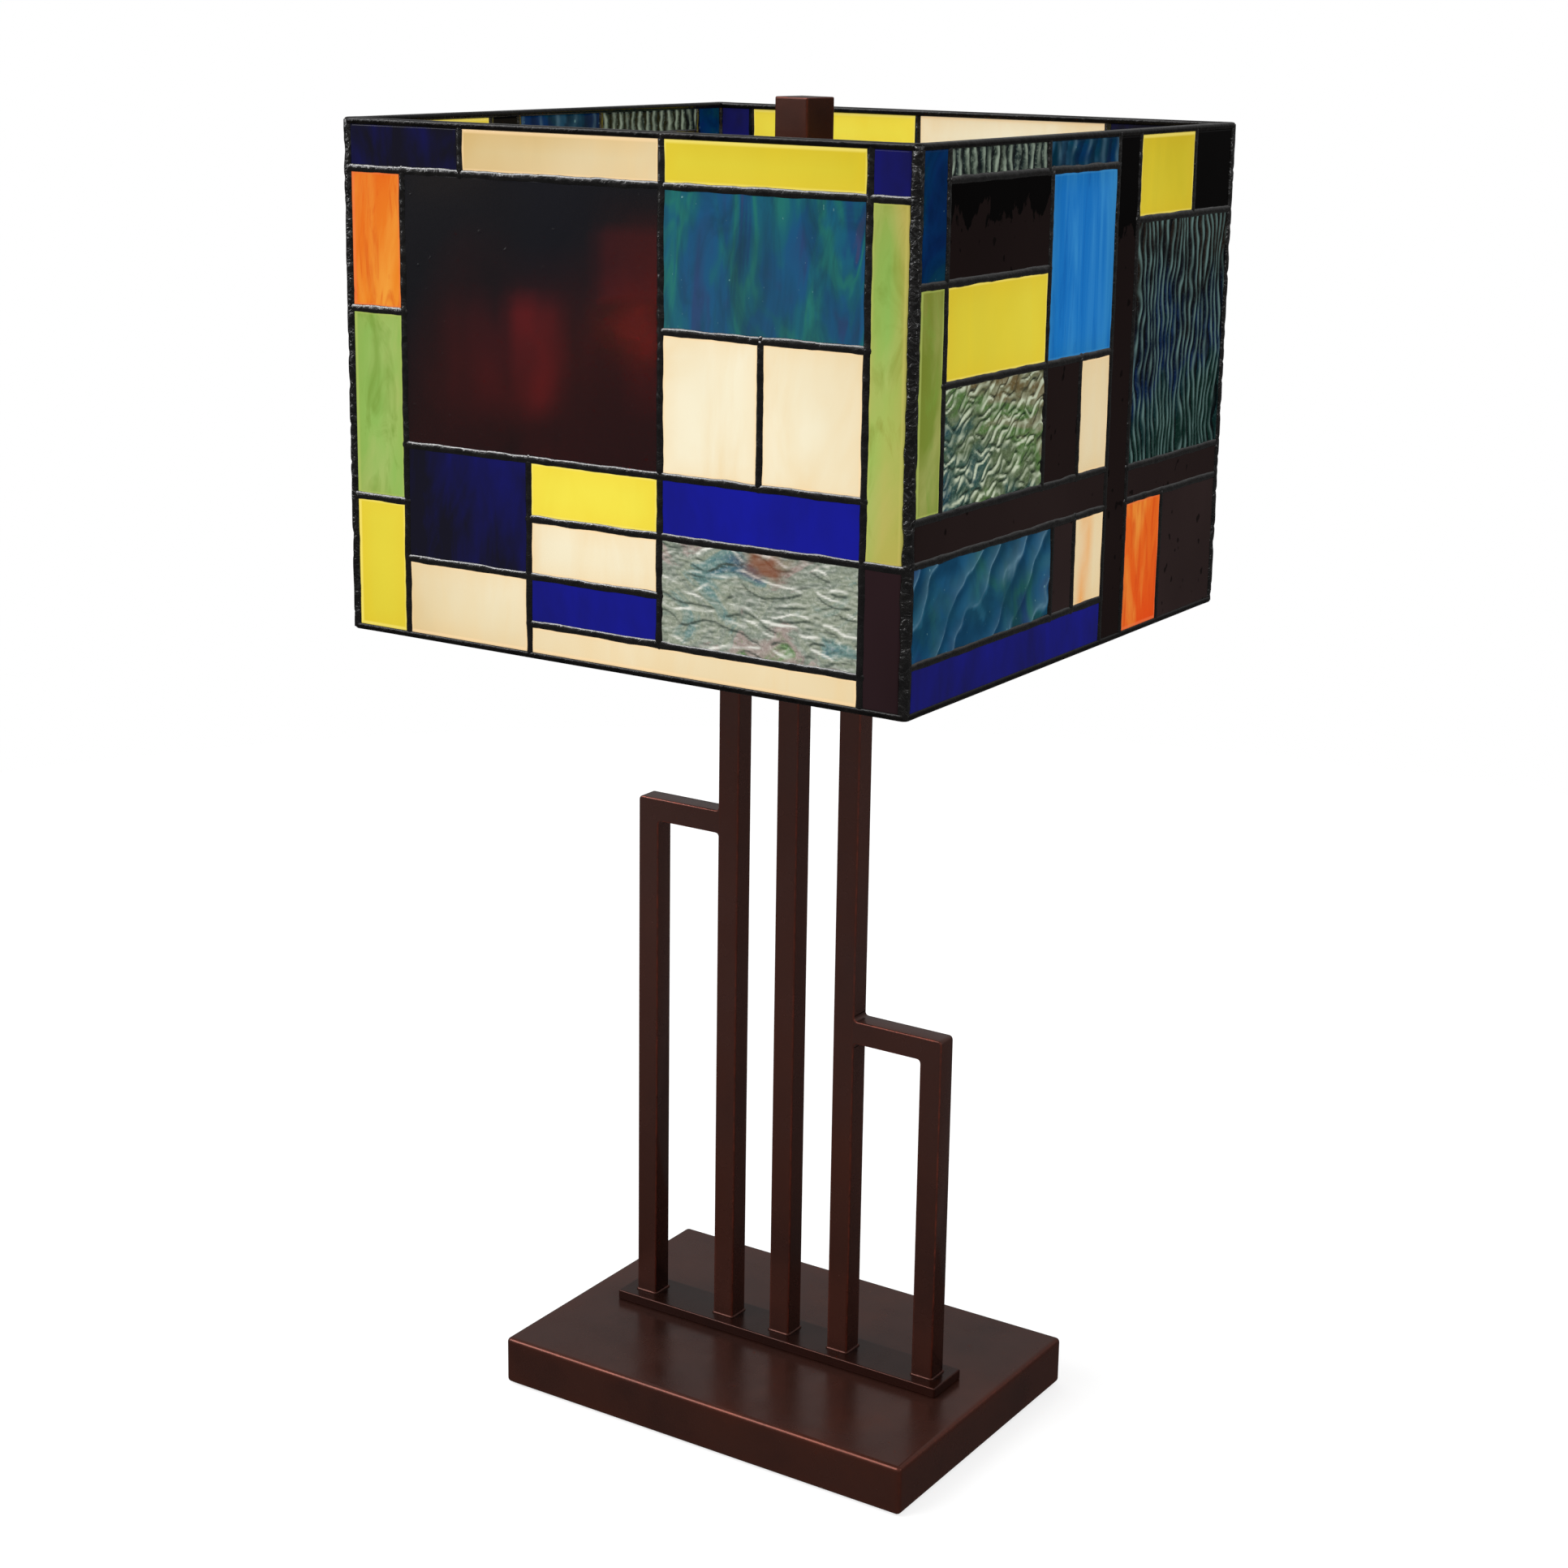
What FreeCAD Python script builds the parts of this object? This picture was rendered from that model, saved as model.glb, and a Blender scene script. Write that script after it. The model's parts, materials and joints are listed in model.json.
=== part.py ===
import FreeCAD, Part
import Sketcher
import math
import os

# Stained glass table lamp. All lengths are millimetres, +Z is up, the front wall of the shade
# faces -Y. The origin is the middle of the base's underside.

doc = FreeCAD.newDocument("StainedGlassLamp")
V = FreeCAD.Vector
SHEET = "Dim"

SIZES = {
    # base
    "base_long": 228.0, "base_wide": 158.0, "base_top": 25.0, "pad_thick": 1.0,
    "shell_wall": 3.0, "shell_roof": 4.0, "corner_round": 2.0, "edge_round": 1.4,
    "plate_thick": 2.0, "plate_play": 0.5, "boss_dia": 9.0, "boss_long": 100.0, "boss_wide": 65.0,
    "screw_dia": 3.0, "screw_head": 6.0, "screw_long": 11.0, "access_dia": 9.0,
    "weight_long": 150.0, "weight_wide": 96.0, "weight_tall": 13.0, "weight_hole": 44.0,
    "wire_hole": 8.0,
    # cord inlet
    "gland_height": 12.0, "gland_dia": 11.0, "gland_flange": 15.0, "gland_lip": 1.5,
    "gland_depth": 10.5, "cord_dia": 6.4,
    # strip and posts
    "strip_long": 187.0, "strip_wide": 25.0, "strip_thick": 5.0, "strip_edge": 0.5,
    "strip_screw_at": 60.0, "strip_screw_dia": 4.0, "strip_screw_head": 7.5,
    "post_side": 11.5, "post_wall": 1.5, "post_round": 0.8,
    "outer_left": -80.5, "inner_left": -33.5, "centre": 0.0, "inner_right": 34.0,
    "outer_right": 82.0, "left_arm_top": 293.5, "right_arm_top": 203.0, "post_top": 430.0,
    "yoke_thick": 8.0,
    # riser, cluster and seat
    "riser_dia": 10.0, "riser_bore": 6.4, "riser_top": 609.0, "thread_play": 0.05,
    "nut_flats": 14.0, "nut_thick": 4.0,
    "cluster_height": 470.0, "cluster_dia": 38.0, "cluster_tall": 24.0, "cluster_wall": 3.5,
    "seat_dia": 24.0, "seat_low": 590.0, "seat_thick": 6.0,
    # lamp holders and bulbs, measured out along each holder's own axis
    "tilt": 30.0, "nipple_from": 12.0, "nipple_to": 25.0,
    "cap_from": 20.0, "cap_neck": 8.5, "cap_shoulder": 32.0, "cap_to": 38.0, "cap_radius": 17.2,
    "cap_wall": 1.0, "shell_from": 34.0, "shell_to": 74.0, "shell_radius": 16.1,
    "shell_skin": 1.0, "liner_radius": 15.0, "liner_skin": 0.9, "liner_to": 73.0,
    "block_from": 34.0, "block_to": 46.0, "thread_radius": 13.35, "thread_skin": 0.6,
    "thread_to": 71.0, "contact_radius": 4.0, "contact_thick": 0.8,
    "bulb_gap": 0.3, "cup_radius": 13.05, "cup_to": 73.5, "cup_skin": 0.5,
    "bulb_radius": 24.0, "bulb_mid": 112.0, "bulb_skin": 1.0, "bulb_neck": 12.2,
    "knob_along": 29.0, "knob_from": 19.5, "knob_to": 30.0, "knob_radius": 5.5,
    "stem_radius": 1.6, "stem_from": 11.0, "stem_play": 0.4,
    # shade metal
    "shade": 290.0, "shade_low": 394.5, "shade_tall": 226.5, "lead_thick": 4.0, "lead": 3.5,
    "seam": 4.0, "seam_round": 1.6, "rim_tall": 2.4, "rim_wide": 5.2, "rim_round": 0.7,
    "side_margin": 4.8, "end_margin": 3.0,
    "hub_dia": 28.0, "hub_hole": 10.8, "bar_wide": 10.0, "bar_thick": 3.0, "seat_gap": 0.3,
    # shade glass
    "glass_thick": 2.6, "groove": 2.8, "lap": 1.1, "edge_lap": 0.3, "glass_play": 0.1,
    # finial
    "block_side": 19.0, "block_turn": -7.4, "finial_top": 631.0, "neck_dia": 13.0,
    "finial_bore": 10.6, "bore_depth": 10.4,
    # lead lines of the front and back walls: across from the wall's left end
    "fx_a": 32.7, "fx_b": 64.8, "fx_c": 100.5, "fx_d": 169.0, "fx_e": 218.0, "fx_f": 267.6,
    # ... and up from the wall's lower end
    "fz_a": 15.4, "fz_b": 36.3, "fz_c": 61.4, "fz_d": 86.8, "fz_e": 144.6, "fz_f": 146.4,
    "fz_g": 205.0,
    # lead lines of the side walls
    "sx_a": 24.0, "sx_b": 106.4, "sx_c": 110.0, "sx_d": 121.8, "sx_e": 141.8, "sx_f": 170.6,
    "sx_g": 191.2, "sx_h": 228.5, "sx_i": 247.5,
    "sz_a": 21.5, "sz_b": 62.6, "sz_c": 77.8, "sz_d": 80.0, "sz_e": 131.8, "sz_f": 171.8,
    "sz_g": 187.2, "sz_h": 211.8,
}

sheet = doc.addObject("Spreadsheet::Sheet", SHEET)
for row, (alias, number) in enumerate(SIZES.items(), start=1):
    sheet.set("A%d" % row, alias)
    sheet.set("B%d" % row, str(number))
    sheet.setAlias("B%d" % row, alias)
doc.recompute()


class Size:
    """A driving size: its number and the expression that ties it to the sheet."""

    def __init__(self, number, text):
        self.number, self.text = number, text

    def join(self, other, sign, number, swap=False):
        left, right = self.text, text_of(other)
        if swap:
            left, right = right, left
        return Size(number, "(%s %s %s)" % (left, sign, right))

    def __add__(self, other):
        return self.join(other, "+", self.number + number_of(other))

    __radd__ = __add__

    def __sub__(self, other):
        return self.join(other, "-", self.number - number_of(other))

    def __rsub__(self, other):
        return self.join(other, "-", number_of(other) - self.number, swap=True)

    def __mul__(self, other):
        return self.join(other, "*", self.number * number_of(other))

    __rmul__ = __mul__

    def __truediv__(self, other):
        return self.join(other, "/", self.number / number_of(other))

    def __neg__(self):
        return 0 - self


def number_of(item):
    return item.number if isinstance(item, Size) else float(item)


def text_of(item):
    return item.text if isinstance(item, Size) else repr(float(item))


def sine(angle):
    return Size(math.sin(math.radians(angle.number)), "sin(%s)" % angle.text)


def cosine(angle):
    return Size(math.cos(math.radians(angle.number)), "cos(%s)" % angle.text)


class Sheet:
    """D.alias gives the driving size of that name."""

    def __getattr__(self, alias):
        return Size(SIZES[alias], "%s.%s" % (SHEET, alias))


D = Sheet()
KEPT = []


def drive(thing, prop, item):
    if isinstance(item, Size):
        thing.setExpression(prop, item.text)


def put(thing, at=(0, 0, 0), rotation=None):
    """Place an object: a point of driving sizes and a fixed rotation."""
    thing.Placement = FreeCAD.Placement(V(*[number_of(v) for v in at]),
                                        rotation or FreeCAD.Rotation())
    for letter, item in zip("xyz", at):
        drive(thing, "Placement.Base." + letter, item)
    return thing


def keep(thing, label):
    thing.Label = label
    KEPT.append(thing)
    return thing


# ---------------------------------------------------------------- primitives

def box(name, size, at, rotation=None):
    solid = doc.addObject("Part::Box", name)
    for prop, item in zip(("Length", "Width", "Height"), size):
        setattr(solid, prop, number_of(item))
        drive(solid, prop, item)
    return put(solid, at, rotation)


def centred_box(name, size, x=0, y=0, z=0):
    return box(name, size, (x - size[0] / 2, y - size[1] / 2, z))


def rod(name, radius, length, at=(0, 0, 0), rotation=None):
    solid = doc.addObject("Part::Cylinder", name)
    for prop, item in (("Radius", radius), ("Height", length)):
        setattr(solid, prop, number_of(item))
        drive(solid, prop, item)
    return put(solid, at, rotation)


def cut(name, base, tool):
    result = doc.addObject("Part::Cut", name)
    result.Base, result.Tool = base, tool
    return result


def fuse(name, shapes):
    result = doc.addObject("Part::MultiFuse", name)
    result.Shapes = shapes
    return result


def group(name, links):
    result = doc.addObject("Part::Compound", name)
    result.Links = links
    return result


# ---------------------------------------------------------------- bodies and sketches

def new_body(label):
    return keep(doc.addObject("PartDesign::Body", "Body_" + label), label)


def new_sketch(body, role, lift=0, name="Sketch"):
    sketch = body.newObject("Sketcher::SketchObject", name)
    plane = [p for p in body.Origin.OriginFeatures if p.Role == role][0]
    sketch.AttachmentSupport = [(plane, "")]
    sketch.MapMode = "FlatFace"
    sketch.AttachmentOffset = FreeCAD.Placement(V(0, 0, number_of(lift)), FreeCAD.Rotation())
    drive(sketch, "AttachmentOffset.Base.z", lift)
    return sketch


def pin_point(sketch, edge, end, x, y):
    """Tie one end of an edge to the sheet, measured from the sketch's origin."""
    for kind, item in (("DistanceX", x), ("DistanceY", y)):
        index = sketch.addConstraint(
            Sketcher.Constraint(kind, -1, 1, edge, end, number_of(item)))
        drive(sketch, "Constraints[%d]" % index, item)


def loop(sketch, points):
    """A closed outline through points, each given as driving sizes."""
    flat = [V(number_of(x), number_of(y), 0) for x, y in points]
    first = None
    for index, start in enumerate(flat):
        edge = sketch.addGeometry(Part.LineSegment(start, flat[(index + 1) % len(flat)]), False)
        first = edge if first is None else first
    count = len(flat)
    for index in range(count):
        sketch.addConstraint(Sketcher.Constraint(
            "Coincident", first + index, 2, first + (index + 1) % count, 1))
        pin_point(sketch, first + index, 1, *points[index])


def rectangle(sketch, x0, y0, x1, y1):
    loop(sketch, [(x0, y0), (x1, y0), (x1, y1), (x0, y1)])


def middle_rectangle(sketch, length, width, x=0, y=0):
    rectangle(sketch, x - length / 2, y - width / 2, x + length / 2, y + width / 2)


def circle(sketch, x, y, diameter):
    edge = sketch.addGeometry(
        Part.Circle(V(number_of(x), number_of(y), 0), V(0, 0, 1), number_of(diameter) / 2), False)
    pin_point(sketch, edge, 3, x, y)
    index = sketch.addConstraint(Sketcher.Constraint("Diameter", edge, number_of(diameter)))
    drive(sketch, "Constraints[%d]" % index, diameter)


def pad(body, sketch, length):
    feature = body.newObject("PartDesign::Pad", "Pad")
    feature.Profile = sketch
    feature.Length = number_of(length)
    drive(feature, "Length", length)
    sketch.Visibility = False
    return feature


def pocket(body, sketch, depth, upward=False):
    feature = body.newObject("PartDesign::Pocket", "Pocket")
    feature.Profile = sketch
    feature.Length = number_of(depth)
    feature.Reversed = upward
    drive(feature, "Length", depth)
    sketch.Visibility = False
    return feature


def turn(body, sketch):
    feature = body.newObject("PartDesign::Revolution", "Revolution")
    feature.Profile = sketch
    feature.ReferenceAxis = (sketch, ["V_Axis"])
    feature.Angle = 360.0
    return feature


def soften(body, feature, radius, wanted):
    """Fillet the edges of a feature that a test picks out."""
    doc.recompute()
    names = ["Edge%d" % (index + 1) for index, edge in enumerate(feature.Shape.Edges)
             if wanted(edge)]
    fillet = body.newObject("PartDesign::Fillet", "Fillet")
    fillet.Base = (feature, names)
    fillet.Radius = number_of(radius)
    drive(fillet, "Radius", radius)
    return fillet


def upright(edge):
    ends = [vertex.Point for vertex in edge.Vertexes]
    return len(ends) == 2 and abs(ends[0].x - ends[1].x) < 0.01 and abs(ends[0].y - ends[1].y) < 0.01


def level_at(height):
    return lambda edge: all(abs(vertex.Z - number_of(height)) < 0.01 for vertex in edge.Vertexes)


def outside(half_x, half_y, test):
    """Narrow an edge test to edges lying on or beyond a rectangle's sides."""
    def wanted(edge):
        mid = edge.BoundBox.Center
        return test(edge) and (abs(mid.x) > number_of(half_x) or abs(mid.y) > number_of(half_y))
    return wanted


def turned(label, profile, at=(0, 0, 0), rotation=None):
    """A body turned about its own Z axis from (radius, height) points."""
    body = new_body(label)
    sketch = new_sketch(body, "XZ_Plane")
    loop(sketch, profile)
    turn(body, sketch)
    return put(body, at, rotation)


# ---------------------------------------------------------------- base

floor = D.pad_thick
roof_under = D.base_top - D.shell_roof
shell_bore_long = D.base_long - 2 * D.shell_wall
shell_bore_wide = D.base_wide - 2 * D.shell_wall
CORNERS = [(sx, sy) for sx in (-1, 1) for sy in (-1, 1)]


def corner_circles(sketch, diameter):
    for sx, sy in CORNERS:
        circle(sketch, sx * D.boss_long, sy * D.boss_wide, diameter)


def make_base_pad():
    body = new_body("base_pad")
    sketch = new_sketch(body, "XY_Plane")
    middle_rectangle(sketch, shell_bore_long, shell_bore_wide)
    corner_circles(sketch, D.access_dia)
    pad(body, sketch, D.pad_thick)


def make_bottom_plate():
    body = new_body("bottom_plate")
    sketch = new_sketch(body, "XY_Plane", floor)
    middle_rectangle(sketch, shell_bore_long - 2 * D.plate_play, shell_bore_wide - 2 * D.plate_play)
    corner_circles(sketch, D.screw_head + 0.4)
    pad(body, sketch, D.plate_thick / 2)
    upper = new_sketch(body, "XY_Plane", floor + D.plate_thick / 2, "Upper")
    middle_rectangle(upper, shell_bore_long - 2 * D.plate_play, shell_bore_wide - 2 * D.plate_play)
    corner_circles(upper, D.screw_dia + 0.4)
    pad(body, upper, D.plate_thick / 2)


def make_base_shell():
    body = new_body("base_shell")
    outline = new_sketch(body, "XY_Plane", floor)
    middle_rectangle(outline, D.base_long, D.base_wide)
    solid = pad(body, outline, D.base_top - floor)
    solid = soften(body, solid, D.corner_round, upright)
    soften(body, solid, D.edge_round, level_at(D.base_top))
    hollow = new_sketch(body, "XY_Plane", floor, "Hollow")
    middle_rectangle(hollow, shell_bore_long, shell_bore_wide)
    pocket(body, hollow, roof_under - floor, upward=True)
    bosses = new_sketch(body, "XY_Plane", floor + D.plate_thick, "Bosses")
    corner_circles(bosses, D.boss_dia)
    pad(body, bosses, roof_under - floor - D.plate_thick + 0.5)
    pilots = new_sketch(body, "XY_Plane", floor + D.plate_thick, "Pilots")
    corner_circles(pilots, D.screw_dia + 0.1)
    pocket(body, pilots, D.screw_long + 1, upward=True)
    through = new_sketch(body, "XY_Plane", D.base_top, "Through")
    circle(through, 0, 0, D.wire_hole)
    for side in (-1, 1):
        circle(through, side * D.strip_screw_at, 0, D.strip_screw_dia + 0.4)
    pocket(body, through, D.shell_roof + 1)
    inlet = new_sketch(body, "XZ_Plane", -D.base_wide / 2 - 1, "Inlet")
    circle(inlet, 0, D.gland_height, D.gland_dia + 0.1)
    pocket(body, inlet, D.shell_wall + 3, upward=True)


def screw(name, label_parts, x, y, low, head_dia, head_tall, shank_dia, length, head_low=True):
    """A headed screw standing along Z; its parts are fused."""
    head_at = low if head_low else low + length
    head = rod(name + "_head", head_dia / 2, head_tall, (x, y, head_at))
    shank = rod(name + "_shank", shank_dia / 2, length - 0.2, (x, y, low + 0.2))
    slot = box(name + "_slot", (head_dia + 1, 0.8, 0.6), (x - head_dia / 2 - 0.5, y - 0.4, low - 0.1))
    label_parts.append(cut(name, fuse(name + "_blank", [head, shank]), slot))


def make_base_fittings():
    block = centred_box("weight_block", (D.weight_long, D.weight_wide, D.weight_tall),
                        z=floor + D.plate_thick)
    well = rod("weight_well", D.weight_hole / 2, D.weight_tall + 2, (0, 0, floor + D.plate_thick - 1))
    keep(cut("weight", block, well), "base_weight")
    screws = []
    for number, (sx, sy) in enumerate(CORNERS):
        screw("base_screw_%d" % number, screws, sx * D.boss_long, sy * D.boss_wide, floor,
              D.screw_head, D.plate_thick / 2, D.screw_dia, D.screw_long)
    keep(group("base_screw_set", screws), "base_screws")
    screws = []
    for number, side in enumerate((-1, 1)):
        screw("plate_screw_%d" % number, screws, side * D.strip_screw_at, 0, roof_under - 2.6,
              D.strip_screw_head, 2.6, D.strip_screw_dia, D.shell_roof + 2.6 + 3.4)
    keep(group("plate_screw_set", screws), "plate_screws")
    bore, barrel, flange = D.cord_dia / 2, D.gland_dia / 2, D.gland_flange / 2
    body = turned("cord_gland",
                  [(bore, 0), (barrel, 0), (barrel, D.gland_depth - D.gland_lip),
                   (flange, D.gland_depth - D.gland_lip), (flange, D.gland_depth - 0.5),
                   (flange - 0.5, D.gland_depth), (bore, D.gland_depth)],
                  (0, D.base_wide / 2 + D.gland_lip - D.gland_depth, D.gland_height),
                  FreeCAD.Rotation(V(1, 0, 0), -90))
    return body


make_base_pad()
make_bottom_plate()
make_base_shell()
make_base_fittings()


# ---------------------------------------------------------------- strip, posts, arms, yoke

strip_top = D.base_top + D.strip_thick
half_post = D.post_side / 2
TUBE_BORE = D.post_side - 2 * D.post_wall


def make_strip():
    body = new_body("post_plate")
    outline = new_sketch(body, "XY_Plane", D.base_top)
    middle_rectangle(outline, D.strip_long, D.strip_wide)
    solid = pad(body, outline, D.strip_thick)
    soften(body, solid, D.strip_edge, level_at(strip_top))
    wire = new_sketch(body, "XY_Plane", strip_top, "Wire")
    circle(wire, 0, 0, D.wire_hole)
    pocket(body, wire, D.strip_thick)
    tapped = new_sketch(body, "XY_Plane", D.base_top, "Tapped")
    for side in (-1, 1):
        circle(tapped, side * D.strip_screw_at, 0, D.strip_screw_dia + 0.1)
    pocket(body, tapped, 3.6, upward=True)


def post(label, at_x, top, capped):
    """A square tube standing on the strip, closed on top when nothing covers it."""
    body = new_body(label)
    outline = new_sketch(body, "XY_Plane", strip_top)
    middle_rectangle(outline, D.post_side, D.post_side, at_x)
    solid = pad(body, outline, top - strip_top)
    soften(body, solid, D.post_round, upright)
    bore = new_sketch(body, "XY_Plane", strip_top, "Bore")
    middle_rectangle(bore, TUBE_BORE, TUBE_BORE, at_x)
    pocket(body, bore, top - strip_top - (D.post_wall if capped else 0), upward=True)


def arm(label, from_x, to_x, top):
    """A square tube lying along X between two posts."""
    body = new_body(label)
    outline = new_sketch(body, "YZ_Plane", from_x + half_post)
    rectangle(outline, -half_post, top - D.post_side, half_post, top)
    solid = pad(body, outline, to_x - from_x - D.post_side)
    lying = lambda edge: abs(edge.Vertexes[0].X - edge.Vertexes[-1].X) > 1
    soften(body, solid, D.post_round, lying)
    bore = new_sketch(body, "YZ_Plane", from_x + half_post, "Bore")
    inner = half_post - D.post_wall
    rectangle(bore, -inner, top - D.post_side + D.post_wall, inner, top - D.post_wall)
    pocket(body, bore, to_x - from_x - D.post_side, upward=True)


def make_yoke():
    body = new_body("top_yoke")
    outline = new_sketch(body, "XY_Plane", D.post_top)
    rectangle(outline, D.inner_left - half_post, -half_post, D.inner_right + half_post, half_post)
    solid = pad(body, outline, D.yoke_thick)
    soften(body, solid, D.post_round, upright)
    hole = new_sketch(body, "XY_Plane", D.post_top + D.yoke_thick, "Hole")
    circle(hole, 0, 0, D.riser_dia + 2 * D.thread_play)
    pocket(body, hole, D.yoke_thick)


make_strip()
post("outer_post_left", D.outer_left, D.left_arm_top, True)
post("inner_post_left", D.inner_left, D.post_top, False)
post("centre_post", D.centre, D.post_top, False)
post("inner_post_right", D.inner_right, D.post_top, False)
post("outer_post_right", D.outer_right, D.right_arm_top, True)
arm("arm_left", D.outer_left, D.inner_left, D.left_arm_top)
arm("arm_right", D.inner_right, D.outer_right, D.right_arm_top)
make_yoke()


# ---------------------------------------------------------------- riser, cluster, seat

def hexagon_nut(name, low):
    """A six-sided nut on the riser: a prism with a clear hole."""
    blank = doc.addObject("Part::Prism", name + "_blank")
    blank.Polygon = 6
    blank.Circumradius = number_of(D.nut_flats / 2 / 0.866)
    drive(blank, "Circumradius", D.nut_flats / 2 / 0.866)
    blank.Height = number_of(D.nut_thick)
    drive(blank, "Height", D.nut_thick)
    put(blank, (0, 0, low))
    hole = rod(name + "_hole", D.riser_dia / 2 + D.thread_play, D.nut_thick + 2, (0, 0, low - 1))
    return cut(name, blank, hole)


def along(item, side):
    """A point on a lamp holder's axis, measured out from the cluster's middle."""
    return (side * item * cosine(D.tilt), 0, D.cluster_height + item * sine(D.tilt))


def holder_rotation(side):
    return FreeCAD.Rotation(V(0, 1, 0), side * (90 - SIZES["tilt"]))


def make_carrier():
    tube = rod("riser_outer", D.riser_dia / 2, D.riser_top - D.post_top, (0, 0, D.post_top))
    bore = rod("riser_inner", D.riser_bore / 2, D.riser_top - D.post_top + 2, (0, 0, D.post_top - 1))
    keep(cut("riser", tube, bore), "riser_pipe")
    below, above = D.cluster_height - D.cluster_tall / 2, D.cluster_height + D.cluster_tall / 2
    lows = [D.post_top + D.yoke_thick, below - D.nut_thick, above, D.seat_low - D.nut_thick]
    nuts = [hexagon_nut("nut_%d" % number, low) for number, low in enumerate(lows)]
    keep(group("nut_set", nuts), "pipe_nuts")
    ball = doc.addObject("Part::Sphere", "cluster_ball")
    ball.Radius = number_of(D.cluster_dia / 2)
    drive(ball, "Radius", D.cluster_dia / 2)
    put(ball, (0, 0, D.cluster_height))
    slab = rod("cluster_slab", D.cluster_dia / 2, D.cluster_tall, (0, 0, below))
    drum = doc.addObject("Part::Common", "cluster_drum")
    drum.Base, drum.Tool = ball, slab
    cavity = rod("cluster_cavity", D.cluster_dia / 2 - D.cluster_wall - 3,
                 D.cluster_tall - 2 * D.cluster_wall, (0, 0, below + D.cluster_wall))
    channel = rod("cluster_channel", D.riser_dia / 2 + D.thread_play, D.cluster_tall + 2,
                  (0, 0, below - 1))
    bores = [rod("cluster_bore_%d" % side, D.riser_dia / 2 + D.thread_play, 12,
                 along(D.nipple_from - 1, side), holder_rotation(side)) for side in (-1, 1)]
    keep(cut("cluster", drum, fuse("cluster_voids", [cavity, channel] + bores)), "cluster_body")
    nipples = []
    for side in (-1, 1):
        outer = rod("nipple_outer_%d" % side, D.riser_dia / 2, D.nipple_to - D.nipple_from,
                    along(D.nipple_from, side), holder_rotation(side))
        inner = rod("nipple_inner_%d" % side, D.riser_bore / 2, D.nipple_to - D.nipple_from + 2,
                    along(D.nipple_from - 1, side), holder_rotation(side))
        nipples.append(cut("nipple_%d" % side, outer, inner))
    keep(group("nipple_set", nipples), "socket_nipples")
    clear, low, wide = D.riser_dia / 2 + D.thread_play, D.seat_low, D.seat_dia / 2
    turned("shade_seat", [(clear, low), (wide - 4, low), (wide, low + D.seat_thick - 2),
                          (wide, low + D.seat_thick), (clear, low + D.seat_thick)])


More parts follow.
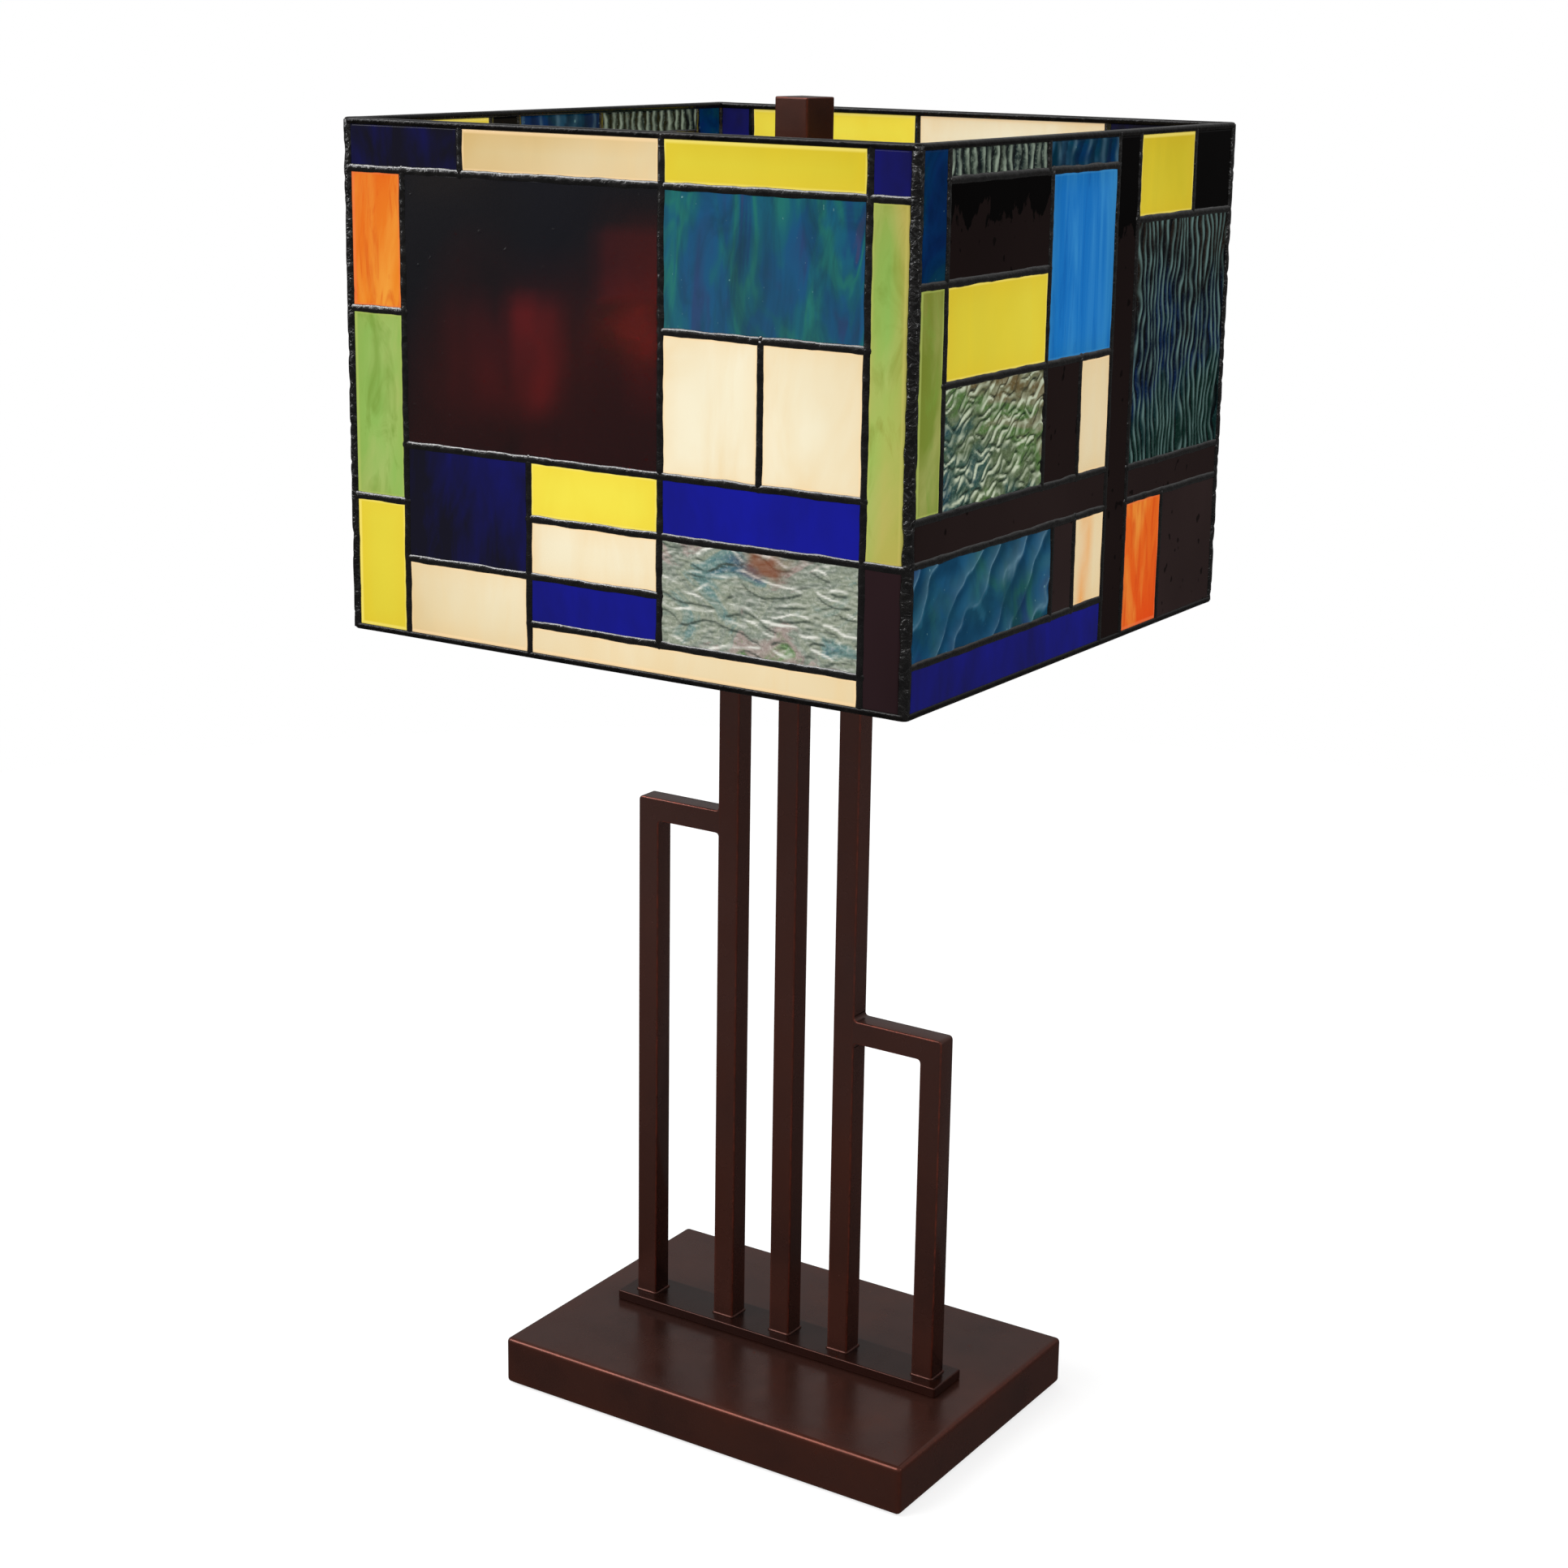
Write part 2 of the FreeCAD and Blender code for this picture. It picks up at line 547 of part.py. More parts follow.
def make_holder(side, hand):
    """One lamp holder and its bulb, all turned about the holder's tilted axis."""
    where = (0, 0, D.cluster_height)
    swing = holder_rotation(side)

    def piece(name, profile):
        return turned("%s_%s" % (name, hand), profile, where, swing)

    hole, cap, skin = D.riser_dia / 2 + D.thread_play, D.cap_radius, D.cap_wall
    piece("cap_blank", [
        (hole, D.cap_from), (D.cap_neck, D.cap_from), (cap, D.cap_shoulder), (cap, D.cap_to),
        (cap - skin, D.cap_to), (cap - skin, D.cap_shoulder + 0.6),
        (D.cap_neck, D.cap_from + 2.2), (hole, D.cap_from + 2.2)])
    blank = KEPT.pop()
    stem_hole = rod("stem_hole_" + hand, D.stem_radius + D.stem_play, 14,
                    tuple(along(D.knob_along, side)), FreeCAD.Rotation(V(1, 0, 0), 90))
    stem_hole.Placement.Base.y = -number_of(D.stem_from) + 1
    keep(cut("cap_" + hand, blank, stem_hole), "socket_cap_" + hand)

    outer, inner = D.shell_radius, D.shell_radius - D.shell_skin
    piece("socket_shell", [(inner, D.shell_from), (outer, D.shell_from), (outer, D.shell_to - 1),
                           (outer + 0.6, D.shell_to), (inner, D.shell_to)])
    liner = D.liner_radius
    piece("socket_insulator", [
        (0, D.block_from), (liner, D.block_from), (liner, D.liner_to),
        (liner - D.liner_skin, D.liner_to), (liner - D.liner_skin, D.block_to), (0, D.block_to)])
    thread = D.thread_radius
    piece("screw_shell", [(thread, D.block_to), (thread + D.thread_skin, D.block_to),
                          (thread + D.thread_skin, D.thread_to), (thread, D.thread_to)])
    piece("centre_contact", [(0, D.block_to), (D.contact_radius, D.block_to),
                             (D.contact_radius - 1, D.block_to + D.contact_thick),
                             (0, D.block_to + D.contact_thick)])

    tip = D.block_to + D.contact_thick + D.bulb_gap
    cup, cup_in = D.cup_radius, D.cup_radius - D.cup_skin
    piece("bulb_base", [
        (0, tip), (4, tip), (5, tip + 2), (cup - 1.5, tip + 5), (cup, tip + 6.5), (cup, D.cup_to),
        (cup_in, D.cup_to), (cup_in, tip + 7), (cup_in - 1.5, tip + 6), (0, tip + 3)])
    neck, round_, mid, glass = D.bulb_neck, D.bulb_radius, D.bulb_mid, D.bulb_skin
    low = D.block_to + 9

    def pear(gap):
        """Half outline of the bulb, set in by a gap."""
        points = [(0, low + gap), (neck - gap, low + gap), (neck - gap, D.cup_to)]
        points += [(neck - gap + (round_ - neck) * part, D.cup_to + (mid - D.cup_to) * step)
                   for part, step in ((0.10, 0.16), (0.42, 0.42), (0.80, 0.72), (1.0, 1.0))]
        for degrees in (20, 40, 60, 75):
            angle = math.radians(degrees)
            points.append(((round_ - gap) * math.cos(angle), mid + (round_ - gap) * math.sin(angle)))
        return points + [(0, mid + round_ - gap)]

    piece("glass_outer", pear(0))
    shape = KEPT.pop()
    piece("glass_inner", pear(glass))
    keep(cut("bulb_" + hand, shape, KEPT.pop()), "bulb_glass_" + hand)

    strips = [rod("stem_%s" % hand, 3.0, 26, where, swing)]
    strips[0].Placement.Base = V(*[number_of(v) for v in along(low + glass, side)])
    for letter, item in zip("xyz", along(low + glass, side)):
        drive(strips[0], "Placement.Base." + letter, item)
    for number in range(4):
        angle = math.pi / 4 + number * math.pi / 2
        strip = rod("strip_%s_%d" % (hand, number), 0.9, 34, where, swing)
        lift = low + glass + 26.5
        local = swing.multVec(V(5 * math.cos(angle), 5 * math.sin(angle), 0))
        for letter, item, shift in zip("xyz", along(lift, side), local):
            drive(strip, "Placement.Base." + letter, item + shift)
        strips.append(strip)
    keep(group("filament_" + hand, strips), "bulb_filament_" + hand)

    seat = along(D.knob_along, side)
    grip, stem = D.knob_radius, D.stem_radius
    piece_body = turned("knob_blank_" + hand, [
        (0, D.stem_from), (stem, D.stem_from), (stem, D.knob_from), (grip, D.knob_from),
        (grip, D.knob_to - 1), (grip - 1, D.knob_to), (0, D.knob_to)],
        seat, FreeCAD.Rotation(V(1, 0, 0), 90))
    KEPT.pop()
    flutes = []
    for number in range(10):
        angle = number * math.pi / 5
        flutes.append(rod("flute_%s_%d" % (hand, number), 0.9, D.knob_to - D.knob_from + 2,
                          (seat[0] + (grip + 0.3) * math.cos(angle), 1 - D.knob_from,
                           seat[2] + (grip + 0.3) * math.sin(angle)),
                          FreeCAD.Rotation(V(1, 0, 0), 90)))
    keep(cut("knob_" + hand, piece_body, group("flutes_" + hand, flutes)), "switch_knob_" + hand)


make_carrier()
make_holder(-1, "left")
make_holder(1, "right")


# ---------------------------------------------------------------- shade: lead and glass

# Each pane is (glass, left line, right line, lower line, upper line); "end" is the wall's own edge.
FRONT_PANES = [
    ("cobalt", "end", "fx_b", "fz_g", "end"), ("cream", "fx_b", "fx_d", "fz_g", "end"),
    ("yellow", "fx_d", "fx_f", "fz_g", "end"), ("cobalt", "fx_f", "end", "fz_g", "end"),
    ("orange", "end", "fx_a", "fz_e", "fz_g"), ("green", "end", "fx_a", "fz_c", "fz_e"),
    ("yellow", "end", "fx_a", "end", "fz_c"), ("ruby", "fx_a", "fx_d", "fz_d", "fz_g"),
    ("teal", "fx_d", "fx_f", "fz_f", "fz_g"), ("cream", "fx_d", "fx_e", "fz_d", "fz_f"),
    ("cream", "fx_e", "fx_f", "fz_d", "fz_f"), ("green", "fx_f", "end", "fz_c", "fz_g"),
    ("cobalt", "fx_a", "fx_c", "fz_b", "fz_d"), ("yellow", "fx_c", "fx_d", "fz_c", "fz_d"),
    ("cream", "fx_c", "fx_d", "fz_b", "fz_c"), ("cobalt", "fx_c", "fx_d", "fz_a", "fz_b"),
    ("cream", "fx_a", "fx_c", "end", "fz_b"), ("cobalt", "fx_d", "fx_f", "fz_c", "fz_d"),
    ("silver", "fx_d", "fx_f", "fz_a", "fz_c"), ("cream", "fx_c", "fx_f", "end", "fz_a"),
    ("ruby", "fx_f", "end", "end", "fz_c"),
]
SIDE_PANES = [
    ("teal", "end", "sx_a", "sz_f", "end"), ("silver", "sx_a", "sx_b", "sz_h", "end"),
    ("teal", "sx_b", "sx_f", "sz_h", "end"), ("ruby", "sx_a", "sx_c", "sz_f", "sz_h"),
    ("yellow", "sx_a", "sx_c", "sz_e", "sz_f"), ("sky", "sx_c", "sx_f", "sz_e", "sz_h"),
    ("green", "end", "sx_a", "sz_d", "sz_f"), ("silver", "sx_a", "sx_c", "sz_d", "sz_e"),
    ("ruby", "sx_c", "sx_e", "sz_d", "sz_e"), ("cream", "sx_e", "sx_f", "sz_d", "sz_e"),
    ("dark", "sx_f", "sx_g", "end", "end"), ("yellow", "sx_g", "sx_i", "sz_g", "end"),
    ("ruby", "sx_i", "end", "sz_g", "end"), ("dark", "sx_g", "end", "sz_c", "sz_g"),
    ("ruby", "sx_g", "end", "sz_b", "sz_c"), ("orange", "sx_g", "sx_h", "end", "sz_b"),
    ("ruby", "sx_h", "end", "end", "sz_b"), ("ruby", "end", "sx_f", "sz_b", "sz_d"),
    ("teal", "end", "sx_d", "sz_a", "sz_b"), ("ruby", "sx_d", "sx_e", "sz_a", "sz_b"),
    ("cream", "sx_e", "sx_f", "sz_a", "sz_b"), ("cobalt", "end", "sx_f", "end", "sz_a"),
]
WALLS = [("front", 0, FRONT_PANES), ("right", 1, SIDE_PANES),
         ("back", 2, FRONT_PANES), ("left", 3, SIDE_PANES)]


def span(low_line, high_line, length, margin):
    """Clear opening between two lead lines, and how far a sheet laps under each."""
    if low_line == "end":
        low, low_lap = margin, D.edge_lap
    else:
        low, low_lap = getattr(D, low_line) + D.lead / 2, D.lap
    if high_line == "end":
        high, high_lap = length - margin, D.edge_lap
    else:
        high, high_lap = getattr(D, high_line) - D.lead / 2, D.lap
    return low, high, low_lap, high_lap


def wall_box(name, quarter, x0, x1, y0, y1, z0, z1):
    """A box given in a wall's own axes: x along it, y inward from its outer face, z up."""
    half = D.shade / 2
    at = [(x0 - half, y0 - half), (half - y0, x0 - half), (half - x0, half - y0),
          (y0 - half, half - x0)][quarter]
    return box(name, (x1 - x0, y1 - y0, z1 - z0), (at[0], at[1], D.shade_low + z0),
               FreeCAD.Rotation(V(0, 0, 1), 90 * quarter))


def make_wall(wall, quarter, panes, sheets):
    plate = wall_box("plate_" + wall, quarter, D.seam, D.shade - D.seam, 0 * D.lead_thick,
                     D.lead_thick, D.rim_tall, D.shade_tall - D.rim_tall)
    windows, grooves = [], []
    groove_low = (D.lead_thick - D.groove) / 2
    glass_low = (D.lead_thick - D.glass_thick) / 2
    for number, (glass, left, right, lower, upper) in enumerate(panes, start=1):
        name = "%s_%d" % (wall, number)
        x0, x1, lap0, lap1 = span(left, right, D.shade, D.side_margin)
        z0, z1, lap2, lap3 = span(lower, upper, D.shade_tall, D.end_margin)
        windows.append(wall_box("window_" + name, quarter, x0, x1, 0 * D.lead - 1,
                                D.lead_thick + 1, z0, z1))
        grooves.append(wall_box("groove_" + name, quarter, x0 - lap0, x1 + lap1, groove_low,
                                groove_low + D.groove, z0 - lap2, z1 + lap3))
        play = D.glass_play
        sheets.setdefault(glass, []).append(wall_box(
            "pane_" + name, quarter, x0 - lap0 + play, x1 + lap1 - play, glass_low,
            glass_low + D.glass_thick, z0 - lap2 + play, z1 + lap3 - play))
    frame = cut("frame_" + wall, plate, group("windows_" + wall, windows))
    keep(cut("grooved_" + wall, frame, group("grooves_" + wall, grooves)), "lattice_" + wall)


def make_rim(label, low):
    """A square ring of lead channel around the shade."""
    body = new_body(label)
    outline = new_sketch(body, "XY_Plane", low)
    middle_rectangle(outline, D.shade, D.shade)
    solid = pad(body, outline, D.rim_tall)
    solid = soften(body, solid, D.seam_round, upright)
    level = low + D.rim_tall if label == "top_rim" else low
    soften(body, solid, D.rim_round, level_at(level))
    inside = new_sketch(body, "XY_Plane", low, "Inside")
    middle_rectangle(inside, D.shade - 2 * D.rim_wide, D.shade - 2 * D.rim_wide)
    pocket(body, inside, D.rim_tall, upward=True)


def make_seams():
    seams = []
    tall = D.shade_tall - 2 * D.rim_tall
    for number, (sx, sy) in enumerate(CORNERS):
        middle = D.shade / 2 - D.seam / 2
        bar = centred_box("seam_bar_%d" % number, (D.seam, D.seam, tall), sx * middle, sy * middle,
                          D.shade_low + D.rim_tall)
        doc.recompute()
        reach = SIZES["shade"] / 2 - 0.01
        outer = [index for index, edge in enumerate(bar.Shape.Edges, start=1) if upright(edge)
                 and abs(edge.Vertexes[0].X) > reach and abs(edge.Vertexes[0].Y) > reach]
        rounded = doc.addObject("Part::Fillet", "seam_%d" % number)
        rounded.Base = bar
        rounded.Edges = [(index, SIZES["seam_round"], SIZES["seam_round"]) for index in outer]
        seams.append(rounded)
    keep(group("seam_set", seams), "corner_seams")


def make_spider():
    low = D.seat_low + D.seat_thick + D.seat_gap
    reach = D.shade / 2 - D.lead_thick
    bar = centred_box("spider_bar", (2 * reach, D.bar_wide, D.bar_thick), z=low)
    hub = rod("spider_hub", D.hub_dia / 2, D.bar_thick, (0, 0, low))
    hole = rod("spider_hole", D.hub_hole / 2, D.bar_thick + 2, (0, 0, low - 1))
    keep(cut("spider", fuse("spider_blank", [bar, hub]), hole), "shade_spider")


def make_finial():
    low = D.seat_low + D.seat_thick + 2 * D.seat_gap + D.bar_thick
    block_low = D.finial_top - D.block_side
    block = doc.addObject("Part::Box", "finial_block")
    for prop in ("Length", "Width", "Height"):
        setattr(block, prop, SIZES["block_side"])
        drive(block, prop, D.block_side)
    angle = SIZES["block_turn"]
    half = D.block_side / 2
    spin = FreeCAD.Rotation(V(0, 0, 1), angle)
    cos_, sin_ = cosine(D.block_turn), sine(D.block_turn)
    put(block, (half * sin_ - half * cos_, -half * sin_ - half * cos_, block_low), spin)
    neck = rod("finial_neck", D.neck_dia / 2, block_low - low + 1, (0, 0, low))
    collar = rod("finial_collar", D.neck_dia / 2 + 3, 2.4, (0, 0, low))
    blank = fuse("finial_blank", [block, neck, collar])
    bore = rod("finial_thread", D.finial_bore / 2, D.bore_depth + 1, (0, 0, low - 1))
    keep(cut("finial_body", blank, bore), "finial")


sheets = {}
for wall, quarter, panes in WALLS:
    make_wall(wall, quarter, panes, sheets)
for glass, panes in sheets.items():
    keep(group("sheet_" + glass, panes), "glass_" + glass)
make_rim("bottom_rim", D.shade_low)
make_rim("top_rim", D.shade_low + D.shade_tall - D.rim_tall)
make_seams()
make_spider()
make_finial()


# ---------------------------------------------------------------- checks and export

doc.recompute()
faults = [thing.Name for thing in doc.Objects if {"Invalid", "Error"} & set(thing.State)]
for thing in KEPT:
    if thing.Shape.isNull() or not thing.Shape.isValid() or not thing.Shape.Solids:
        faults.append(thing.Label)
if faults:
    raise RuntimeError("faulty objects: " + ", ".join(faults))

os.makedirs("parts", exist_ok=True)
for thing in KEPT:
    thing.Shape.exportStep("parts/%s.step" % thing.Label)
    bounds = thing.Shape.BoundBox
    print("%-24s %3d solids %10.1f mm3  z %.1f to %.1f" % (
        thing.Label, len(thing.Shape.Solids), thing.Shape.Volume, bounds.ZMin, bounds.ZMax))
print("kept %d parts" % len(KEPT))
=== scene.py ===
import json
import math

import bmesh
import bpy
from mathutils import Matrix, Vector, noise


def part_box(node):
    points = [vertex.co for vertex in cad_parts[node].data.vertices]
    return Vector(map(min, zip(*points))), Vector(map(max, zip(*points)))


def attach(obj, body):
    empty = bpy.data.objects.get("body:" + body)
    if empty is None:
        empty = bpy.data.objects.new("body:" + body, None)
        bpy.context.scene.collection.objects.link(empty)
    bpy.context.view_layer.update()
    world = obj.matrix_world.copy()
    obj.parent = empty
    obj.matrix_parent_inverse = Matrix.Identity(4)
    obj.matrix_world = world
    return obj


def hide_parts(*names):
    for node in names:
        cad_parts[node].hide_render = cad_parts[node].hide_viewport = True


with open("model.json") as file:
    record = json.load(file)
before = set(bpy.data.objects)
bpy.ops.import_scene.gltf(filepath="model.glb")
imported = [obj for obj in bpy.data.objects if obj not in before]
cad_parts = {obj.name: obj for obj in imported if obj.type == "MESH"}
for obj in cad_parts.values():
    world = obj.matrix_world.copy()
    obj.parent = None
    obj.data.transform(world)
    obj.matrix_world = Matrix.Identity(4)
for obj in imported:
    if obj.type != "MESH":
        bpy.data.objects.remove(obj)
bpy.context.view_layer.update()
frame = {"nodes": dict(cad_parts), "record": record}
NODES = frame["nodes"]
MM = 0.001


# ---------------------------------------------------------------- node graphs

class Graph:
    """Short calls for building one material's nodes."""

    def __init__(self, name, **shader):
        self.material = bpy.data.materials.new(name)
        self.material.use_nodes = True
        self.tree = self.material.node_tree
        self.shader = self.tree.nodes["Principled BSDF"]
        self.set(**shader)

    def set(self, **shader):
        for socket, value in shader.items():
            self.feed(self.shader, socket.replace("_", " "), value)
        return self.material

    def feed(self, node, socket, value):
        target = node.inputs[socket]
        if isinstance(value, bpy.types.NodeSocket):
            self.tree.links.new(value, target)
        elif isinstance(value, (tuple, list)) and target.type == "RGBA" and len(value) == 3:
            target.default_value = (*value, 1.0)
        else:
            target.default_value = value

    def node(self, kind, *ordered, output=0, settings=None, **inputs):
        """One output of a new node, whose inputs are given in order or by name."""
        made = self.tree.nodes.new(kind)
        for key, value in (settings or {}).items():
            setattr(made, key, value)
        for index, value in enumerate(ordered):
            self.feed(made, index, value)
        for socket, value in inputs.items():
            self.feed(made, socket.replace("_", " "), value)
        return made.outputs[output]

    def place(self, scale=(1, 1, 1)):
        where = self.node("ShaderNodeTexCoord", output="Object")
        return self.node("ShaderNodeMapping", Vector=where, Scale=scale)

    def noise(self, where, scale, detail=3.0, rough=0.5, distortion=0.0):
        return self.node("ShaderNodeTexNoise", output="Fac", Vector=where, Scale=scale,
                         Detail=detail, Roughness=rough, Distortion=distortion)

    def attribute(self, name):
        return self.node("ShaderNodeAttribute", output="Fac", settings={"attribute_name": name})

    def math(self, operation, a, b, clamp=False):
        return self.node("ShaderNodeMath", a, b,
                         settings={"operation": operation, "use_clamp": clamp})

    def plus(self, a, b, clamp=False):
        return self.math("ADD", a, b, clamp)

    def times(self, a, b, clamp=False):
        return self.math("MULTIPLY", a, b, clamp)

    def remap(self, value, low, high, to_low=0.0, to_high=1.0):
        return self.node("ShaderNodeMapRange", settings={"clamp": True}, Value=value,
                         From_Min=low, From_Max=high, To_Min=to_low, To_Max=to_high)

    def ramp(self, factor, stops):
        made = self.tree.nodes.new("ShaderNodeValToRGB")
        made.color_ramp.interpolation = "EASE"
        elements = made.color_ramp.elements
        while len(elements) < len(stops):
            elements.new(0.5)
        for element, (position, colour) in zip(elements, stops):
            element.position = position
            element.color = (*colour, 1.0)
        self.feed(made, "Fac", factor)
        return made.outputs["Color"]

    def mix(self, factor, a, b, blend="MIX"):
        made = self.tree.nodes.new("ShaderNodeMix")
        made.data_type, made.blend_type = "RGBA", blend
        for socket, value in ((0, factor), (6, a), (7, b)):
            self.feed(made, socket, value)
        return made.outputs[2]

    def dim(self, colour, share):
        return self.mix(1.0, colour, (share, share, share), "MULTIPLY")

    def bump(self, height, strength, distance):
        return self.node("ShaderNodeBump", output="Normal", Height=height, Strength=strength,
                         Distance=distance)


def srgb(red, green, blue):
    """A colour as painted, 0 to 255, in linear light."""
    return tuple(c / 12.92 if c <= 0.04045 else ((c + 0.055) / 1.055) ** 2.4
                 for c in (red / 255, green / 255, blue / 255))


def painted(*stops):
    """A ramp's stops from (position, red, green, blue) with colours as painted."""
    return [(position, srgb(*colour)) for position, *colour in stops]


# ---------------------------------------------------------------- metal and small materials

def bronze_material(name="bronze", depth=1.0):
    """Oil-rubbed bronze: cloudy dark brown, redder where "warm", rubbed copper along "wear",
    lighter and greyer up the posts towards the shade, a painted reflection, and darkened all
    over by a depth below 1, a painted shade.
    """
    g = Graph(name, Metallic=0.6, Specular_IOR_Level=0.35)
    where = g.place()
    fine = g.noise(where, 1100.0, 2.0, 0.6)
    body = g.ramp(g.noise(where, 18.0, 4.0, 0.6),
                  painted((0.3, 60, 37, 32), (0.55, 69, 41, 34), (0.8, 80, 44, 33)))
    height = g.node("ShaderNodeSeparateXYZ", where, output="Z")
    # painted reflection: from 6 cm up to the shade the bronze turns lighter and greyer, and not
    # above 0.5 m
    painted_reflection = g.times(g.remap(height, 0.06, 0.38, 0.0, 0.62),
                          g.remap(height, 0.5, 0.55, 1.0, 0.0))
    body = g.mix(painted_reflection, body, srgb(100, 74, 70))
    reddish = g.remap(g.noise(where, 20.0, 3.0, 0.5), 0.3, 0.75, 0.1, 0.6)
    body = g.mix(g.times(g.attribute("warm"), reddish), body, srgb(92, 42, 27))
    body = g.mix(g.remap(fine, 0.6, 0.8, 0.0, 0.3), body, srgb(96, 54, 42))
    patchy = g.noise(g.place((1, 1, 0.5)), 420.0, 3.0, 0.75)
    rub = g.times(g.attribute("wear"), g.remap(patchy, 0.4, 0.64, 0.15, 0.75), True)
    return g.set(Base_Color=g.mix(rub, g.dim(body, depth), srgb(146, 66, 48)),
                 Roughness=g.remap(g.noise(where, 60.0, 3.0), 0.3, 0.7, 0.2, 0.3),
                 Normal=g.bump(fine, 0.1, 0.0003))


def solder_material(name="black_solder", mirror=0.6, lumps=0.35):
    """Blackened solder; the smooth rims mirror less, and the thick corner seams are lumpier."""
    g = Graph(name, Specular_IOR_Level=mirror, IOR=1.7)
    where = g.place()
    tone = g.noise(where, 120.0, 3.0, 0.6)
    return g.set(Base_Color=g.ramp(tone, painted((0.3, 6, 5, 5), (0.6, 14, 12, 11),
                                                 (0.85, 28, 24, 22))),
                 Roughness=g.remap(g.noise(where, 200.0, 3.0), 0.3, 0.7, 0.1, 0.3),
                 Normal=g.bump(g.noise(where, 210.0, 3.0, 0.5, 1.5), lumps, 0.0008))


def plain_metal(name, dark, light, metallic, low, high, grain=260.0):
    """A metal whose tone drifts from dark to light and its roughness from low to high."""
    g = Graph(name, Metallic=metallic)
    where = g.place()
    tone = g.noise(where, 40.0, 4.0, 0.6)
    return g.set(Base_Color=g.ramp(tone, painted((0.3, *dark), (0.75, *light))),
                 Roughness=g.remap(g.noise(where, grain, 3.0), 0.3, 0.7, low, high),
                 Normal=g.bump(g.noise(where, grain * 4, 2.0), 0.08, 0.0003))


def felt_material():
    g = Graph("felt", Roughness=0.95, Sheen_Weight=0.4, Sheen_Roughness=0.5)
    fibre = g.noise(g.place(), 2600.0, 4.0, 0.8)
    return g.set(Base_Color=g.ramp(fibre, painted((0.3, 16, 17, 16), (0.7, 44, 46, 42))),
                 Normal=g.bump(fibre, 0.6, 0.0006))


def bulb_material():
    g = Graph("bulb_glass", Transmission_Weight=1.0, IOR=1.45, Roughness=0.02)
    haze = g.noise(g.place(), 30.0, 2.0)
    return g.set(Base_Color=g.ramp(haze, [(0.3, (1.0, 0.93, 0.80)), (0.7, (1.0, 0.97, 0.90))]))


def filament_material():
    g = Graph("filament", Roughness=0.5, Emission_Strength=4.0)
    glow = g.noise(g.place(), 300.0, 2.0)
    warm = g.ramp(glow, [(0.3, (1.0, 0.55, 0.18)), (0.7, (1.0, 0.72, 0.36))])
    return g.set(Base_Color=warm, Emission_Color=warm)


def porcelain_material():
    g = Graph("porcelain", Roughness=0.2, Coat_Weight=0.5, Coat_Roughness=0.05)
    tone = g.noise(g.place(), 60.0, 3.0)
    return g.set(Base_Color=g.ramp(tone, painted((0.3, 214, 208, 192), (0.7, 238, 234, 222))))


def bakelite_material():
    g = Graph("bakelite", Roughness=0.25, Coat_Weight=0.3, Coat_Roughness=0.1)
    swirl = g.noise(g.place(), 90.0, 4.0, 0.6, 1.5)
    return g.set(Base_Color=g.ramp(swirl, painted((0.35, 20, 14, 12), (0.7, 44, 28, 22))))


# ---------------------------------------------------------------- glass materials
# Each pane carries its UV in metres along its wall and up, and the MARKS that are worked out
# further below: "seed" shifts its pattern, "lit" is how strongly the bulbs shine through it,
# "rim" (a painted glow) and "border" (a painted shade) are high beside the lead, "shade" is a
# slow change of tone and on black sheets a painted reflection edge, "shine" and "hollow" are a
# painted highlight and a painted shade that follow the relief, and "spot" is a stain or a glow.

LIT_GLOW, RIPPLE_GLOW, BLACK_GLOW = 0.62, 0.42, 0.6


def pane_noise(g, stretch, scale, detail, rough=0.5, distortion=0.0, shift=0.37):
    """Noise in the wall's own plane, stretched, and shifted by each pane's seed."""
    step = g.times(g.attribute("seed"), shift)
    steps = g.node("ShaderNodeCombineXYZ", step, step, step)
    moved = g.node("ShaderNodeVectorMath", g.node("ShaderNodeTexCoord", output="UV"), steps,
                   settings={"operation": "ADD"})
    where = g.node("ShaderNodeMapping", Vector=moved, Scale=stretch)
    return g.noise(where, scale, detail, rough, distortion)


def glow_from(g, body, reflect, glow, height, strength=0.12, distance=0.0006):
    """Light in the body's own colour, a share of it as paint, and a fine bumpy face."""
    return g.set(Base_Color=g.dim(body, reflect), Emission_Color=body, Emission_Strength=glow,
                 Normal=g.bump(height, strength, distance))


